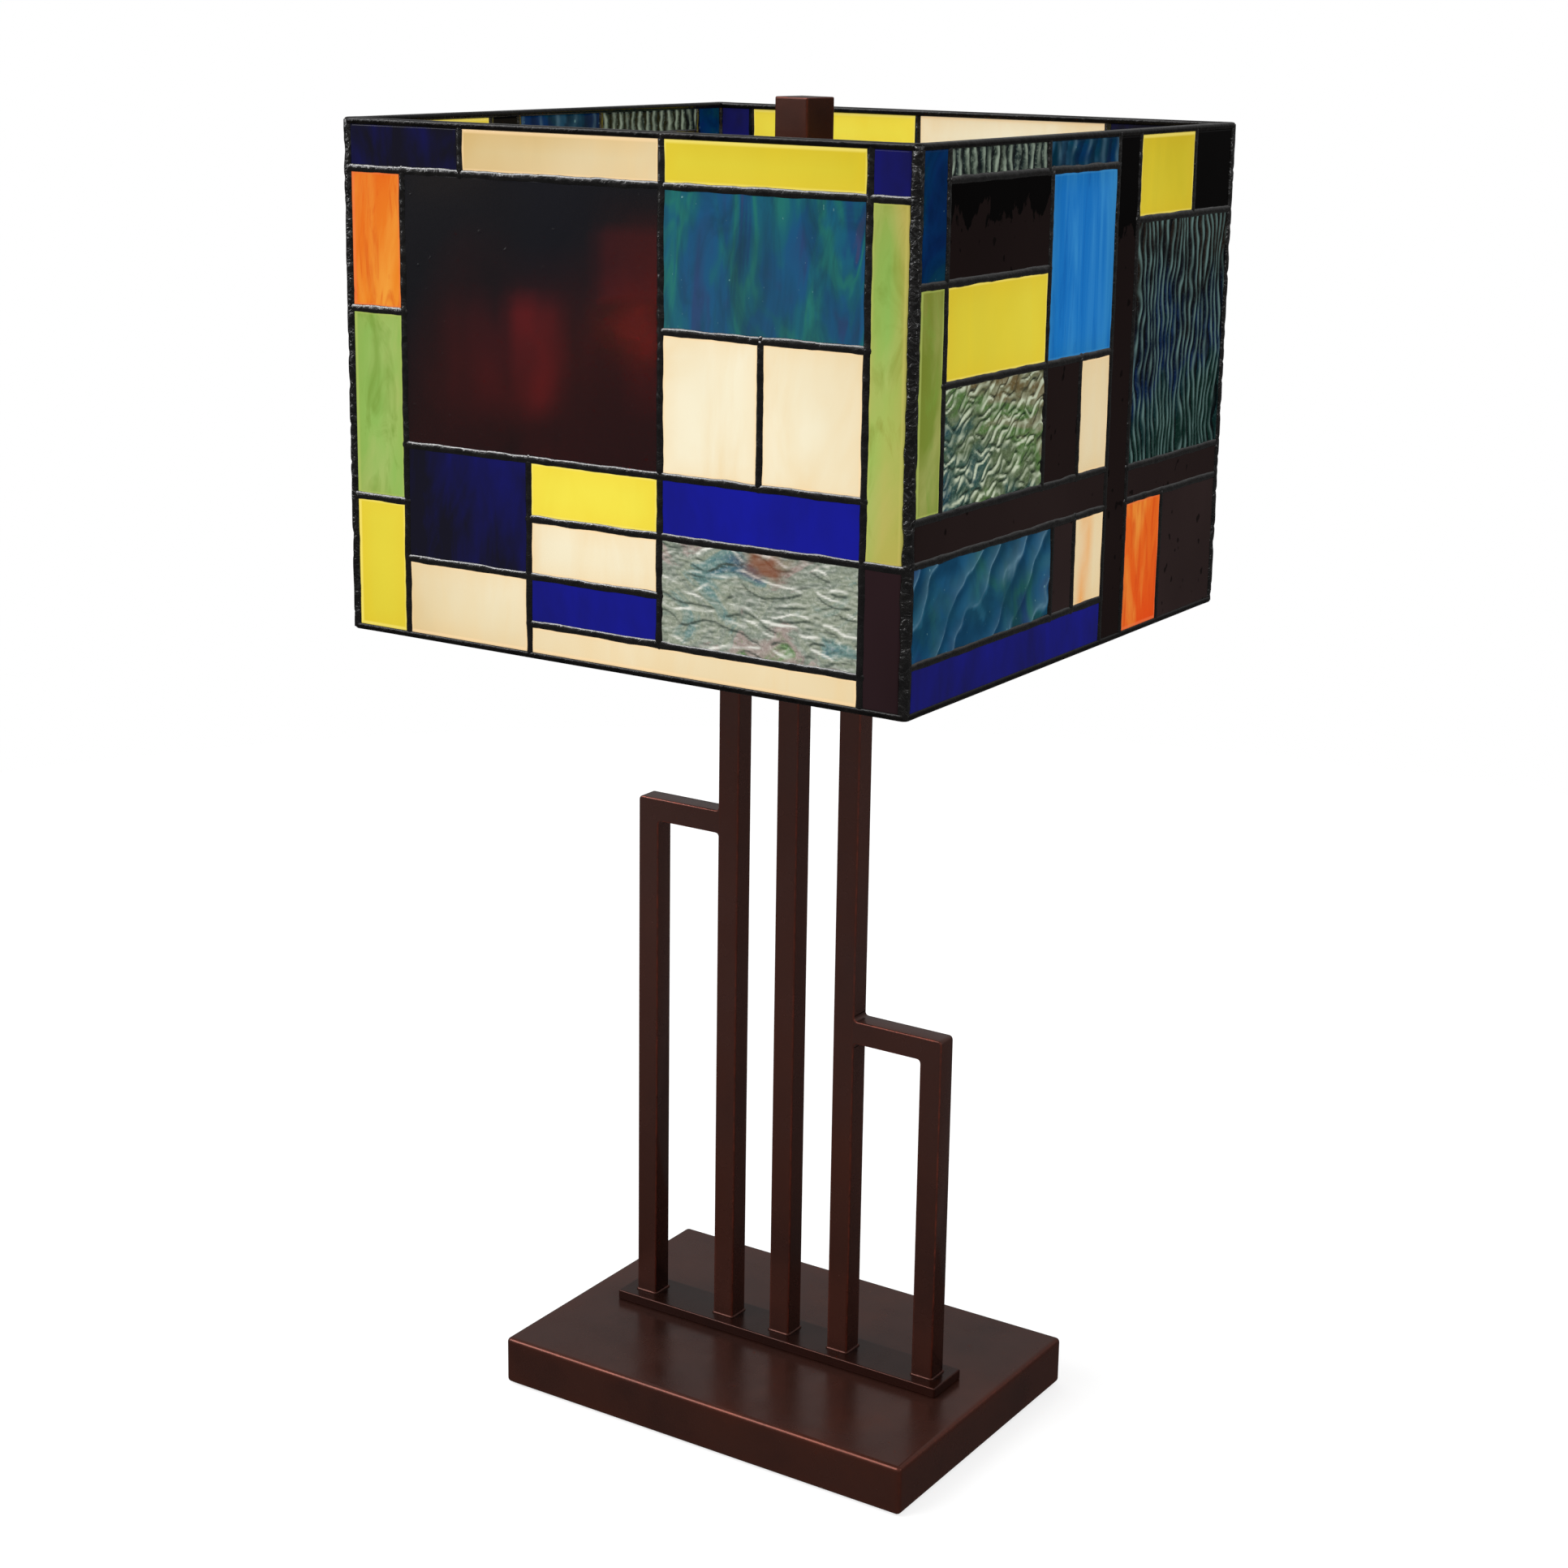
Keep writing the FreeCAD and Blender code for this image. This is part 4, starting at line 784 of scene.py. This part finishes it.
def grid_lines(low, high, step):
    """Cuts across a pane: close together by the lead, even in between."""
    near = [0.0, LAP, LAP + 0.35 * MM, LAP + 0.9 * MM, LAP + 1.8 * MM]
    inner_low, inner_high = low + near[-1], high - near[-1]
    count = max(1, round((inner_high - inner_low) / step))
    middle = [inner_low + (inner_high - inner_low) * i / count for i in range(1, count)]
    return [low + n for n in near] + middle + [high - n for n in reversed(near)]


def sheet_point(pane, side, x, z, edge):
    """A point on a pane's outer (0) or inner (1) face, level with the rest beside the lead."""
    share = (1.0 if side == 0 else -0.25) * min(1.0, edge / (1.2 * MM))
    rise = relief(pane.relief, x / MM, z / MM, pane.seed) * MM * share
    y = max(pane.y0 - rise, 0.1 * MM) if side == 0 else pane.y1 + rise
    return out_of_wall(pane.wall, x, y, z)


def sheet_faces(first, wide, tall):
    """Faces of a closed sheet whose points start at first: two grids and the band round them."""
    def outer(i, j):
        return first + j * wide + i

    def inner(i, j):
        return outer(i, j) + wide * tall

    faces = []
    for j in range(tall - 1):
        for i in range(wide - 1):
            faces.append((outer(i, j), outer(i + 1, j), outer(i + 1, j + 1), outer(i, j + 1)))
            faces.append((inner(i, j), inner(i, j + 1), inner(i + 1, j + 1), inner(i + 1, j)))
    border = [(i, 0) for i in range(wide)] + [(wide - 1, j) for j in range(1, tall)]
    border += [(i, tall - 1) for i in range(wide - 2, -1, -1)]
    border += [(0, j) for j in range(tall - 2, 0, -1)]
    for here, there in zip(border, border[1:] + border[:1]):
        faces.append((outer(*here), inner(*here), inner(*there), outer(*there)))
    return faces


def build_glass(node, panes, materials):
    """All panes of one kind of glass as one object of closed sheets."""
    points, faces, slots, uvs, marks = [], [], [], [], []
    looks = sorted({p.look for p in panes})
    for pane in panes:
        xs = grid_lines(pane.x0, pane.x1, STEP[pane.relief] * MM)
        zs = grid_lines(pane.z0, pane.z1, STEP[pane.relief] * MM)
        sheet = sheet_faces(len(points), len(xs), len(zs))
        faces += sheet
        slots += [looks.index(pane.look)] * len(sheet)
        for side, z, x in ((side, z, x) for side in (0, 1) for z in zs for x in xs):
            edge = min(x - pane.x0, pane.x1 - x, z - pane.z0, pane.z1 - z)
            points.append(sheet_point(pane, side, x, z, edge))
            uvs.append((x, z))
            marks.append(pane_marks(pane, side, x, z, edge))
    made = new_object(node + "_sheets", points, faces, [materials[k] for k in looks], "shade")
    mesh = made.data
    mesh.polygons.foreach_set("material_index", slots)
    layer = mesh.uv_layers.new(name="UVMap")
    for loop in mesh.loops:
        layer.data[loop.index].uv = uvs[loop.vertex_index]
    for name, values in zip(MARKS, zip(*marks)):
        point_values(mesh, name, values)
    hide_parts(node)


# ---------------------------------------------------------------- lead and solder

LEAD_WIDE = 3.5 * MM
SEAM_SIDE, SEAM_TURNS = 4.9 * MM, 18
RIM_WIDE, RIM_TALL, RIM_TURNS = 4.9 * MM, 3.1 * MM, 14
QUARTERS = [(1, 1), (-1, 1), (-1, -1), (1, -1)]


def lead_lines(wall):
    """Centre lines of the lead between panes: (upright?, place, from, to)."""
    half_gap, border = 0.75 * MM, 6.0 * MM
    spans = {}
    for p in (p for p in PANES if p.wall == wall):
        left = p.x0 - half_gap if p.x0 > border else None
        right = p.x1 + half_gap if p.x1 < LENGTH - border else None
        low = p.z0 - half_gap if p.z0 > border else None
        high = p.z1 + half_gap if p.z1 < TALL - border else None
        x_span = (left or 2 * MM, right or LENGTH - 2 * MM)
        z_span = (low or 1 * MM, high or TALL - 1 * MM)
        for upright, place, span in ((True, left, z_span), (True, right, z_span),
                                     (False, low, x_span), (False, high, x_span)):
            if place is not None:
                spans.setdefault((upright, round(place, 4)), []).append(span)
    lines = []
    for (upright, place), pieces in sorted(spans.items()):
        pieces.sort()
        start, stop = pieces[0]
        for low, high in pieces[1:]:
            if low <= stop + 1 * MM:
                stop = max(stop, high)
            else:
                lines.append((upright, place, start, stop))
                start, stop = low, high
        lines.append((upright, place, start, stop))
    return lines


def bead(build, wall, upright, place, start, stop):
    """A run of solder over one lead line, domed and lumpy on both faces."""
    count = max(3, round((stop - start) / (1.25 * MM)))
    seed, rings = wall * 17 + place * 311 + (7 if upright else 0), []
    root = GLASS_DEEP + 0.12 * MM
    for step in range(count + 1):
        along = start + (stop - start) * step / count
        s = along / MM
        wide = LEAD_WIDE * (1 + 0.18 * wobble(s / 11, seed, 1) + 0.10 * wobble(s / 4.5, seed, 2))
        drift = 0.3 * MM * wobble(s / 16, seed, 3)
        ring = []
        for face in (0, 1):
            dip = (0.06 + 0.22 * (0.5 + wobble(s / 3.1, seed, 5 + face))) * MM
            for turn in range(7):
                angle = math.pi * turn / 6
                a = wide / 2 * math.cos(angle) * (1 if face == 0 else -1)
                rough = 0.12 * MM * wobble(s / 3.4, a * 500, seed + 11 + face)
                dome = (root - max(0.03 * MM, dip + rough)) * math.sin(angle)
                y = root - dome if face == 0 else LEAD_THICK - root + dome
                across = place + drift + a
                x, z = (across, along) if upright else (along, across)
                ring.append(out_of_wall(wall, x, y, z))
        rings.append(ring)
    build.rings(rings, False)


def joint_blob(build, wall, x, z, seed):
    """A low puddle of solder on both faces, where two lead lines meet."""
    radius = (2.2 + 0.4 * wobble(seed, 1, 2)) * MM
    for face in (0, 1):
        rings = []
        for level in range(4):
            y = GLASS_DEEP + 0.14 * MM - (GLASS_DEEP - 0.08 * MM) * math.sin(math.pi / 6 * level)
            y = y if face == 0 else LEAD_THICK - y
            ring = []
            for turn in range(12):
                angle = 2 * math.pi * turn / 12
                r = radius * math.cos(math.pi / 6.8 * level)
                r *= 1 + 0.15 * wobble(math.cos(angle) * 2, math.sin(angle) * 2, seed + face)
                ring.append(out_of_wall(wall, x + r * math.cos(angle), y, z + r * math.sin(angle)))
            rings.append(ring)
        build.rings(rings, False)


def build_leads(material):
    """The solder over each wall's lead lines, with a puddle at each crossing."""
    for wall, name in enumerate(WALLS):
        build, lines = Build(), lead_lines(wall)
        for line in lines:
            bead(build, wall, *line)
        for _, place, start, stop in (line for line in lines if not line[0]):
            for _, x, low, high in (line for line in lines if line[0]):
                if start - 1 * MM < x < stop + 1 * MM and low - 1 * MM < place < high + 1 * MM:
                    joint_blob(build, wall, x, place, x * 700 + place * 900 + wall)
        made = build.make("solder_" + name, material, "shade")
        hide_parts("lattice_" + name)


def square_path(half_u, half_v, corner, step):
    """Points and outward directions round a rectangle with rounded corners."""
    path = []
    for quarter, (su, sv) in enumerate(QUARTERS):
        core = Vector((su * (half_u - corner), sv * (half_v - corner)))
        for part in range(5):
            angle = math.pi / 2 * (quarter + part / 4)
            direction = Vector((math.cos(angle), math.sin(angle)))
            path.append((core + direction * corner, direction))
        nu, nv = QUARTERS[(quarter + 1) % 4]
        begin, direction = path[-1]
        end = Vector((nu * (half_u - corner), nv * (half_v - corner))) + direction * corner
        count = max(2, round((end - begin).length / step))
        path += [(begin.lerp(end, i / count), direction) for i in range(1, count)]
    return path


def boxy(angle, power):
    """Cosine and sine pushed out towards a square."""
    return [math.copysign(abs(v) ** power, v) for v in (math.cos(angle), math.sin(angle))]


def build_rim(name, level, upward, material):
    """Came round an open end of the shade: rounded and slightly uneven, fuller at the corners."""
    build, rings = Build(), []
    inner = HALF - RIM_WIDE / 2
    for point, direction in square_path(inner, inner, 0.6 * MM, 2.2 * MM):
        near_side = min(abs(abs(point.x) - inner), abs(abs(point.y) - inner)) < 1.2 * MM
        corner = near_side and abs(abs(point.x) - abs(point.y)) < 7 * MM
        place = point / MM
        swell = 0.02 * wobble(place.x / 30, place.y / 30, 3) + (0.0 if corner else -0.03)
        ring = []
        for turn in range(RIM_TURNS):
            across, up = boxy(2 * math.pi * turn / RIM_TURNS, 0.55)
            rough = min(1.0, 1 + swell + 0.006 * wobble(place.x / 9 + turn, place.y / 9, 9))
            rise = RIM_TALL / 2 * up * (rough if (up > 0) == upward else 1.0)
            radial = direction * (RIM_WIDE / 2 * across * rough)
            z = level + (-RIM_TALL / 2 if upward else RIM_TALL / 2) + rise
            ring.append(Vector((point.x + radial.x, point.y + radial.y, z)))
        rings.append(ring)
    build.rings(rings, True)
    made = build.make(name + "_came", material, "shade")
    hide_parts(name)


def seam_ring(number, sx, sy, z):
    """One level of a corner's seam, within the shade's corner and lumpy all round."""
    s = z / MM
    bulge = 0.22 * wobble(s / 11, number * 9, 1) + 0.05 * wobble(s / 5, number * 9, 2)
    reach = SEAM_SIDE * (0.98 + bulge)
    ring = []
    for turn in range(SEAM_TURNS):
        angle = 2 * math.pi * turn / SEAM_TURNS
        c, q = math.cos(angle), math.sin(angle)
        lump = abs(wobble(s / 8.5 + 0.3 * c, number * 7 + c, q)) * 1.5
        rough = 0.05 * MM * wobble(s / 4.0, number * 7 + c * 2, q * 2)
        inset = max(0.0, 0.45 * MM * (1 - min(1.0, lump * 2)) ** 2 + rough)
        x, y = (HALF - inset - (0.5 - v / 2) * (reach - inset) for v in boxy(angle, 0.7))
        ring.append(Vector((sx * x, sy * y, z)))
    return ring


def build_corners(material):
    """Thick lumpy solder up each corner of the shade."""
    build, count = Build(), round(TALL / (1.3 * MM))
    levels = [Z_LOW + 1.0 * MM + (TALL - 2 * MM) * step / count for step in range(count + 1)]
    for number, (sx, sy) in enumerate(((-1, -1), (1, -1), (1, 1), (-1, 1))):
        build.rings([seam_ring(number, sx, sy, z) for z in levels], False)
    made = build.make("corner_solder", material, "shade")
    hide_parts("corner_seams")


# ---------------------------------------------------------------- metalwork

POSTS = ["outer_post_left", "inner_post_left", "centre_post", "inner_post_right",
         "outer_post_right"]
BEND = 2.4 * MM
# edge radius in mm and worn share of each plain block
BLOCKS = {"base_shell": (2.3, 0.25), "post_plate": (0.7, 0.15), "top_yoke": (0.8, 1.0),
          "inner_post_left": (0.9, 1.0), "centre_post": (0.9, 1.0), "inner_post_right": (0.9, 1.0)}


def edge_cuts(half, radius):
    """Cuts along one side of a block: over its round edge, then wider apart."""
    edge = [radius * (1 - math.cos(math.pi / 8 * k)) for k in range(4)]
    edge += [radius, radius + 0.35 * MM]
    edge += [g * MM for g in (2.5, 6.0, 12.0) if radius + 1 * MM < g * MM < half * 0.9]
    return [-half + e for e in edge] + [half - e for e in reversed(edge)]


def rounded_block(name, low, high, radius, material, body, spin=None, worn=1.0):
    """A block with rounded edges; "wear" is its worn share along an edge, "warm" fades off it."""
    half, middle = (high - low) / 2, (low + high) / 2
    cuts = [edge_cuts(h, radius) for h in half]
    points, faces, known = [], [], {}

    def corner(place):
        key = tuple(round(c * 1e7) for c in place)
        if key not in known:
            core = Vector([max(radius - h, min(h - radius, c)) for h, c in zip(half, place)])
            known[key] = len(points)
            points.append(core + (Vector(place) - core).normalized() * radius)
        return known[key]

    for axis in range(3):
        a, b = (axis + 1) % 3, (axis + 2) % 3
        for side, i, j in ((side, i, j) for side in (-1, 1) for i in range(len(cuts[a]) - 1)
                           for j in range(len(cuts[b]) - 1)):
            quad = []
            for u, v in ((i, j), (i + 1, j), (i + 1, j + 1), (i, j + 1)):
                place = [0.0, 0.0, 0.0]
                place[axis], place[a], place[b] = side * half[axis], cuts[a][u], cuts[b][v]
                quad.append(corner(place))
            faces.append(tuple(quad if side > 0 else reversed(quad)))
    made = new_object(name, [(spin @ p if spin else p) + middle for p in points], faces,
                      [material], body)
    gaps = [sorted(h - abs(c) for h, c in zip(half, point))[1] for point in points]
    point_values(made.data, "wear", [worn * (1.0 if gap < radius * 0.4 else
                                             0.4 if gap < radius * 0.75 else 0.0) for gap in gaps])
    point_values(made.data, "warm", [math.exp(-gap / (5 * MM)) for gap in gaps])
    return made


def rounded_outline(corners):
    """A closed outline from (x, z, radius) corners, each turned into a short arc."""
    outline, count = [], len(corners)
    for index, (x, z, radius) in enumerate(corners):
        here = Vector((x, z))
        if radius == 0:
            outline.append(here)
            continue
        start, end = (here + (Vector(corners[near % count][:2]) - here).normalized() * radius
                      for near in (index - 1, index + 1))
        for t in (step / 6 for step in range(7)):
            outline.append(start.lerp(here, t).lerp(here.lerp(end, t), t))
    return outline


def bent_bar(name, outline, depth, radius, material):
    """A flat-sided bar following an outline in x and z, its long edges rounded and worn."""
    following = outline[1:] + outline[:1]
    turn = 1 if sum(a.cross(b) for a, b in zip(outline, following)) > 0 else -1
    inward = []
    for before, here, after in zip(outline[-1:] + outline, outline, following):
        sides = [Vector((-d.y, d.x)) * turn
                 for d in ((here - before).normalized(), (after - here).normalized())]
        inward.append((sides[0] + sides[1]) / (1 + sides[0].dot(sides[1])))
    front = [(depth / 2, radius + 0.35 * MM, 0.0)]
    for step, worn in enumerate((0.0, 0.4, 1.0, 0.4, 0.0)):
        angle = math.pi / 8 * step
        front.append((depth / 2 - radius * (1 - math.cos(angle)), radius * (1 - math.sin(angle)),
                      worn))
    levels = [(-y, inset, worn) for y, inset, worn in front] + list(reversed(front))
    build = Build()
    build.rings([[Vector((p.x + n.x * inset, y, p.y + n.y * inset))
                  for p, n in zip(outline, inward)] for y, inset, _ in levels], False)
    made = build.make(name, material, "lamp")
    wear = [worn for _, _, worn in levels for _ in outline]
    point_values(made.data, "wear", wear)
    point_values(made.data, "warm", [0.35 + 0.4 * worn for worn in wear])
    return made


def build_bracket(side, bronze):
    """An outer post and its arm as one bent bar, welded with small fillets to the inner post."""
    post, arm, inner = (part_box(n % side) for n in ("outer_post_%s", "arm_%s", "inner_post_%s"))
    sign = -1 if side == "left" else 1
    outward, inward = (0, 1) if side == "left" else (1, 0)
    outer_x, inside_x, face_x = post[outward].x, post[inward].x, inner[outward].x
    deep_x = face_x - sign * 3 * MM
    foot, top, under = post[0].z, arm[1].z, arm[0].z
    outline = rounded_outline([
        (outer_x, foot, 0), (outer_x, top, BEND), (face_x, top, 2.0 * MM),
        (face_x, top + BEND, 0), (deep_x, top + BEND, 0), (deep_x, under - BEND, 0),
        (face_x, under - BEND, 0), (face_x, under, 2.0 * MM), (inside_x, under, 2.2 * MM),
        (inside_x, foot, 0)])
    made = bent_bar("bracket_" + side, outline, post[1].y - post[0].y - 0.1 * MM, 0.9 * MM, bronze)
    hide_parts("outer_post_" + side, "arm_" + side)


def weld_loop(build, centre, half_x, half_y, radius, seed):
    """A thin uneven weld bead round the foot of a square tube."""
    rings = []
    for point, direction in square_path(half_x, half_y, 0.9 * MM, 1.1 * MM):
        r = radius * (1 + 0.25 * wobble(point.x / (2 * MM), point.y / (2 * MM), seed))
        base = centre + point.to_3d()
        rings.append([base + direction.to_3d() * (r * math.cos(t)) + Vector((0, 0, r * math.sin(t)))
                      for t in (2 * math.pi * k / 8 for k in range(8))])
    build.rings(rings, True)


def build_metalwork(bronze):
    """The base, strip, posts, yoke and brackets, and the welds at the posts' feet."""
    # painted shade: the post plate gets a copy of the bronze darkened to 0.42, as if in shadow
    shadowed = bronze_material("bronze_shadowed", 0.42)
    for name, (radius, worn) in BLOCKS.items():
        low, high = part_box(name)
        made = rounded_block(name + "_metal", low, high, radius * MM,
                             shadowed if name == "post_plate" else bronze, "lamp", worn=worn)
        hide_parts(name)
    build_bracket("left", bronze)
    build_bracket("right", bronze)
    welds = Build()
    for number, name in enumerate(POSTS):
        low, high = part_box(name)
        centre = Vector(((low.x + high.x) / 2, 0, low.z + 0.2 * MM))
        weld_loop(welds, centre, (high.x - low.x) / 2, (high.y - low.y) / 2, 0.8 * MM, number)
    made = welds.make("foot_welds", bronze, "lamp")
    point_values(made.data, "wear", [0.12] * len(made.data.vertices))


def lathe(build, profile, steps=48):
    """A closed (radius, height) profile turned about the upright axis."""
    rings = []
    for angle in (2 * math.pi * step / steps for step in range(steps)):
        rings.append([Vector((r * math.cos(angle), r * math.sin(angle), z)) for r, z in profile])
    build.rings(rings, True)


def build_finial(bronze):
    """The cube, turned as the CAD's cube is, on its turned neck and collar."""
    low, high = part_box("finial")
    far = max((v.co for v in NODES["finial"].data.vertices if v.co.z > high.z - 0.1 * MM),
              key=lambda c: c.x - c.y)
    side = Vector((far.x, far.y)).length * math.sqrt(2)
    turn = math.atan2(far.y, far.x) + math.pi / 4
    half, top = side / 2, high.z - side
    block = rounded_block("finial_block", Vector((-half, -half, top)), Vector((half, half, high.z)),
                          0.7 * MM, bronze, "finial", Matrix.Rotation(turn, 3, "Z"))
    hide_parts("finial")
    neck = Build()
    bore, r = 5.3 * MM, 6.5 * MM
    lathe(neck, [(bore, low.z), (r + 3 * MM, low.z), (r + 3 * MM, low.z + 2.0 * MM),
                 (r + 2.2 * MM, low.z + 2.6 * MM), (r, low.z + 3.2 * MM),
                 (r - 0.6 * MM, top - 4 * MM), (r, top - 1.2 * MM), (r + 1.5 * MM, top + 0.4 * MM),
                 (bore, top + 0.4 * MM)])
    made = neck.make("finial_neck", bronze, "finial")
    point_values(made.data, "wear", [0.2] * len(made.data.vertices))


def finish_cad_pieces(bronze, solder):
    """Give each CAD piece that stays the finish of its slot."""
    finishes = {
        "brass": plain_metal("brass", (150, 108, 52), (196, 152, 84), 0.95, 0.22, 0.38),
        "zinc_plate": plain_metal("zinc_plate", (120, 120, 116), (170, 170, 164), 0.9, 0.3, 0.5),
        "black_iron": plain_metal("black_iron", (30, 28, 27), (56, 52, 50), 0.6, 0.55, 0.8, 120.0),
        "felt": felt_material(), "bulb_glass": bulb_material(), "filament": filament_material(),
        "porcelain": porcelain_material(), "black_bakelite": bakelite_material(),
        "bronze": bronze, "black_solder": solder}
    for part in frame["record"]["subparts"]:
        material, target = finishes.get(part["material_slot"]), NODES[part["node"]]
        if material is None:
            continue
        if not target.material_slots:
            target.data.materials.append(material)
        for slot in target.material_slots:
            slot.material = material


# ---------------------------------------------------------------- studio

FLOOR_RADIUS, FLOOR_SIDES = 1.3, 96


def build_floor():
    """A pale glowing disc, hidden from mirror rays so that it puts no grey on the posts."""
    g = Graph("floor", Roughness=0.8, Specular_IOR_Level=0.0, Emission_Strength=0.74)
    pale = g.ramp(g.noise(g.place(), 3.0, 2.0), [(0.3, (0.98, 0.98, 0.98)), (0.7, (1.0, 1.0, 1.0))])
    g.set(Base_Color=g.dim(pale, 0.4), Emission_Color=pale)
    mesh = bpy.data.meshes.new("floor")
    ring = [(FLOOR_RADIUS * math.cos(angle), FLOOR_RADIUS * math.sin(angle), 0)
            for angle in (2 * math.pi * k / FLOOR_SIDES for k in range(FLOOR_SIDES))]
    mesh.from_pydata(ring, [], [tuple(range(FLOOR_SIDES))])
    mesh.materials.append(g.material)
    floor = link_object("floor", mesh)
    floor.visible_glossy = False


def build_world():
    """White to the camera, softer to diffuse light, and brighter with height in mirrors."""
    world = bpy.data.worlds.new("studio")
    bpy.context.scene.world = world
    world.use_nodes = True
    world.cycles.sampling_method = "NONE"
    tree = world.node_tree
    background = tree.nodes["Background"]
    background.inputs["Color"].default_value = (1, 1, 1, 1)

    def blend(factor, a, b):
        made = tree.nodes.new("ShaderNodeMix")
        for socket, value in ((0, factor), (2, a), (3, b)):
            if isinstance(value, float):
                made.inputs[socket].default_value = value
            else:
                tree.links.new(value, made.inputs[socket])
        return made.outputs[0]

    split = tree.nodes.new("ShaderNodeSeparateXYZ")
    tree.links.new(tree.nodes.new("ShaderNodeTexCoord").outputs["Generated"], split.inputs[0])
    mirror = tree.nodes.new("ShaderNodeMapRange")
    tree.links.new(split.outputs["Z"], mirror.inputs["Value"])
    for socket, value in (("From Min", -0.1), ("From Max", 0.5), ("To Min", 0.06),
                          ("To Max", 0.47)):
        mirror.inputs[socket].default_value = value
    rays = tree.nodes.new("ShaderNodeLightPath").outputs
    unseen = blend(rays["Is Glossy Ray"], 0.62, mirror.outputs[0])
    tree.links.new(blend(rays["Is Camera Ray"], unseen, 1.0), background.inputs["Strength"])


def add_light(name, kind, place, aim, **facts):
    data = bpy.data.lights.new(name, kind)
    for key, value in facts.items():
        setattr(data, key, value)
    made = link_object(name, data)
    made.location = place
    made.rotation_euler = (Vector(aim) - Vector(place)).to_track_quat("-Z", "Y").to_euler()


def build_studio():
    """A pale floor, a bright surround, one wide soft key and two strips for glints."""
    build_floor()
    build_world()
    add_light("key", "SUN", (-1.4, -1.6, 2.4), (0, 0, 0.3), energy=1.7, angle=0.7)
    add_light("strip", "AREA", (-1.5, -1.3, 1.3), (0, 0, 0.4), energy=7.0, shape="RECTANGLE",
              size=0.3, size_y=1.4)
    add_light("edge", "AREA", (1.7, 0.2, 1.3), (0, 0, 0.5), energy=4.0, shape="RECTANGLE",
              size=0.25, size_y=1.2)


def build_camera():
    """Seen from the front right and a little above, turned and rolled as on a tripod."""
    place = Vector((0.6883, -1.0788, 0.6743))
    yaw, pitch, roll = 0.5719, -0.2479, 0.0154
    ahead = Vector((-math.sin(yaw) * math.cos(pitch), math.cos(yaw) * math.cos(pitch),
                    math.sin(pitch)))
    right = Vector((math.cos(yaw), math.sin(yaw), 0))
    up = right.cross(ahead)
    rolled = [right * math.cos(roll) + up * math.sin(roll),
              up * math.cos(roll) - right * math.sin(roll)]
    data = bpy.data.cameras.new("camera")
    data.sensor_width, data.lens, data.shift_y = 36.0, 64.354, -0.05
    data.clip_start, data.clip_end = 0.05, 100
    camera = link_object("camera", data)
    axes = Matrix((*rolled, -ahead)).transposed().to_4x4()
    camera.matrix_world = Matrix.Translation(place) @ axes
    bpy.context.scene.camera = camera


def main():
    bronze, solder = bronze_material(), solder_material()
    finish_cad_pieces(bronze, solder)
    materials = glass_materials()
    for glass in sorted({p.glass for p in PANES}):
        build_glass("glass_" + glass, [p for p in PANES if p.glass == glass], materials)
    build_leads(solder)
    build_corners(solder_material("corner_solder", 0.6, 1.0))
    rim_solder = solder_material("rim_solder", 0.12)
    build_rim("top_rim", Z_HIGH, True, rim_solder)
    build_rim("bottom_rim", Z_LOW, False, rim_solder)
    build_metalwork(bronze)
    build_finial(bronze)
    build_studio()
    build_camera()
    bpy.context.scene.view_settings.view_transform = "Standard"


main()
bpy.context.view_layer.update()
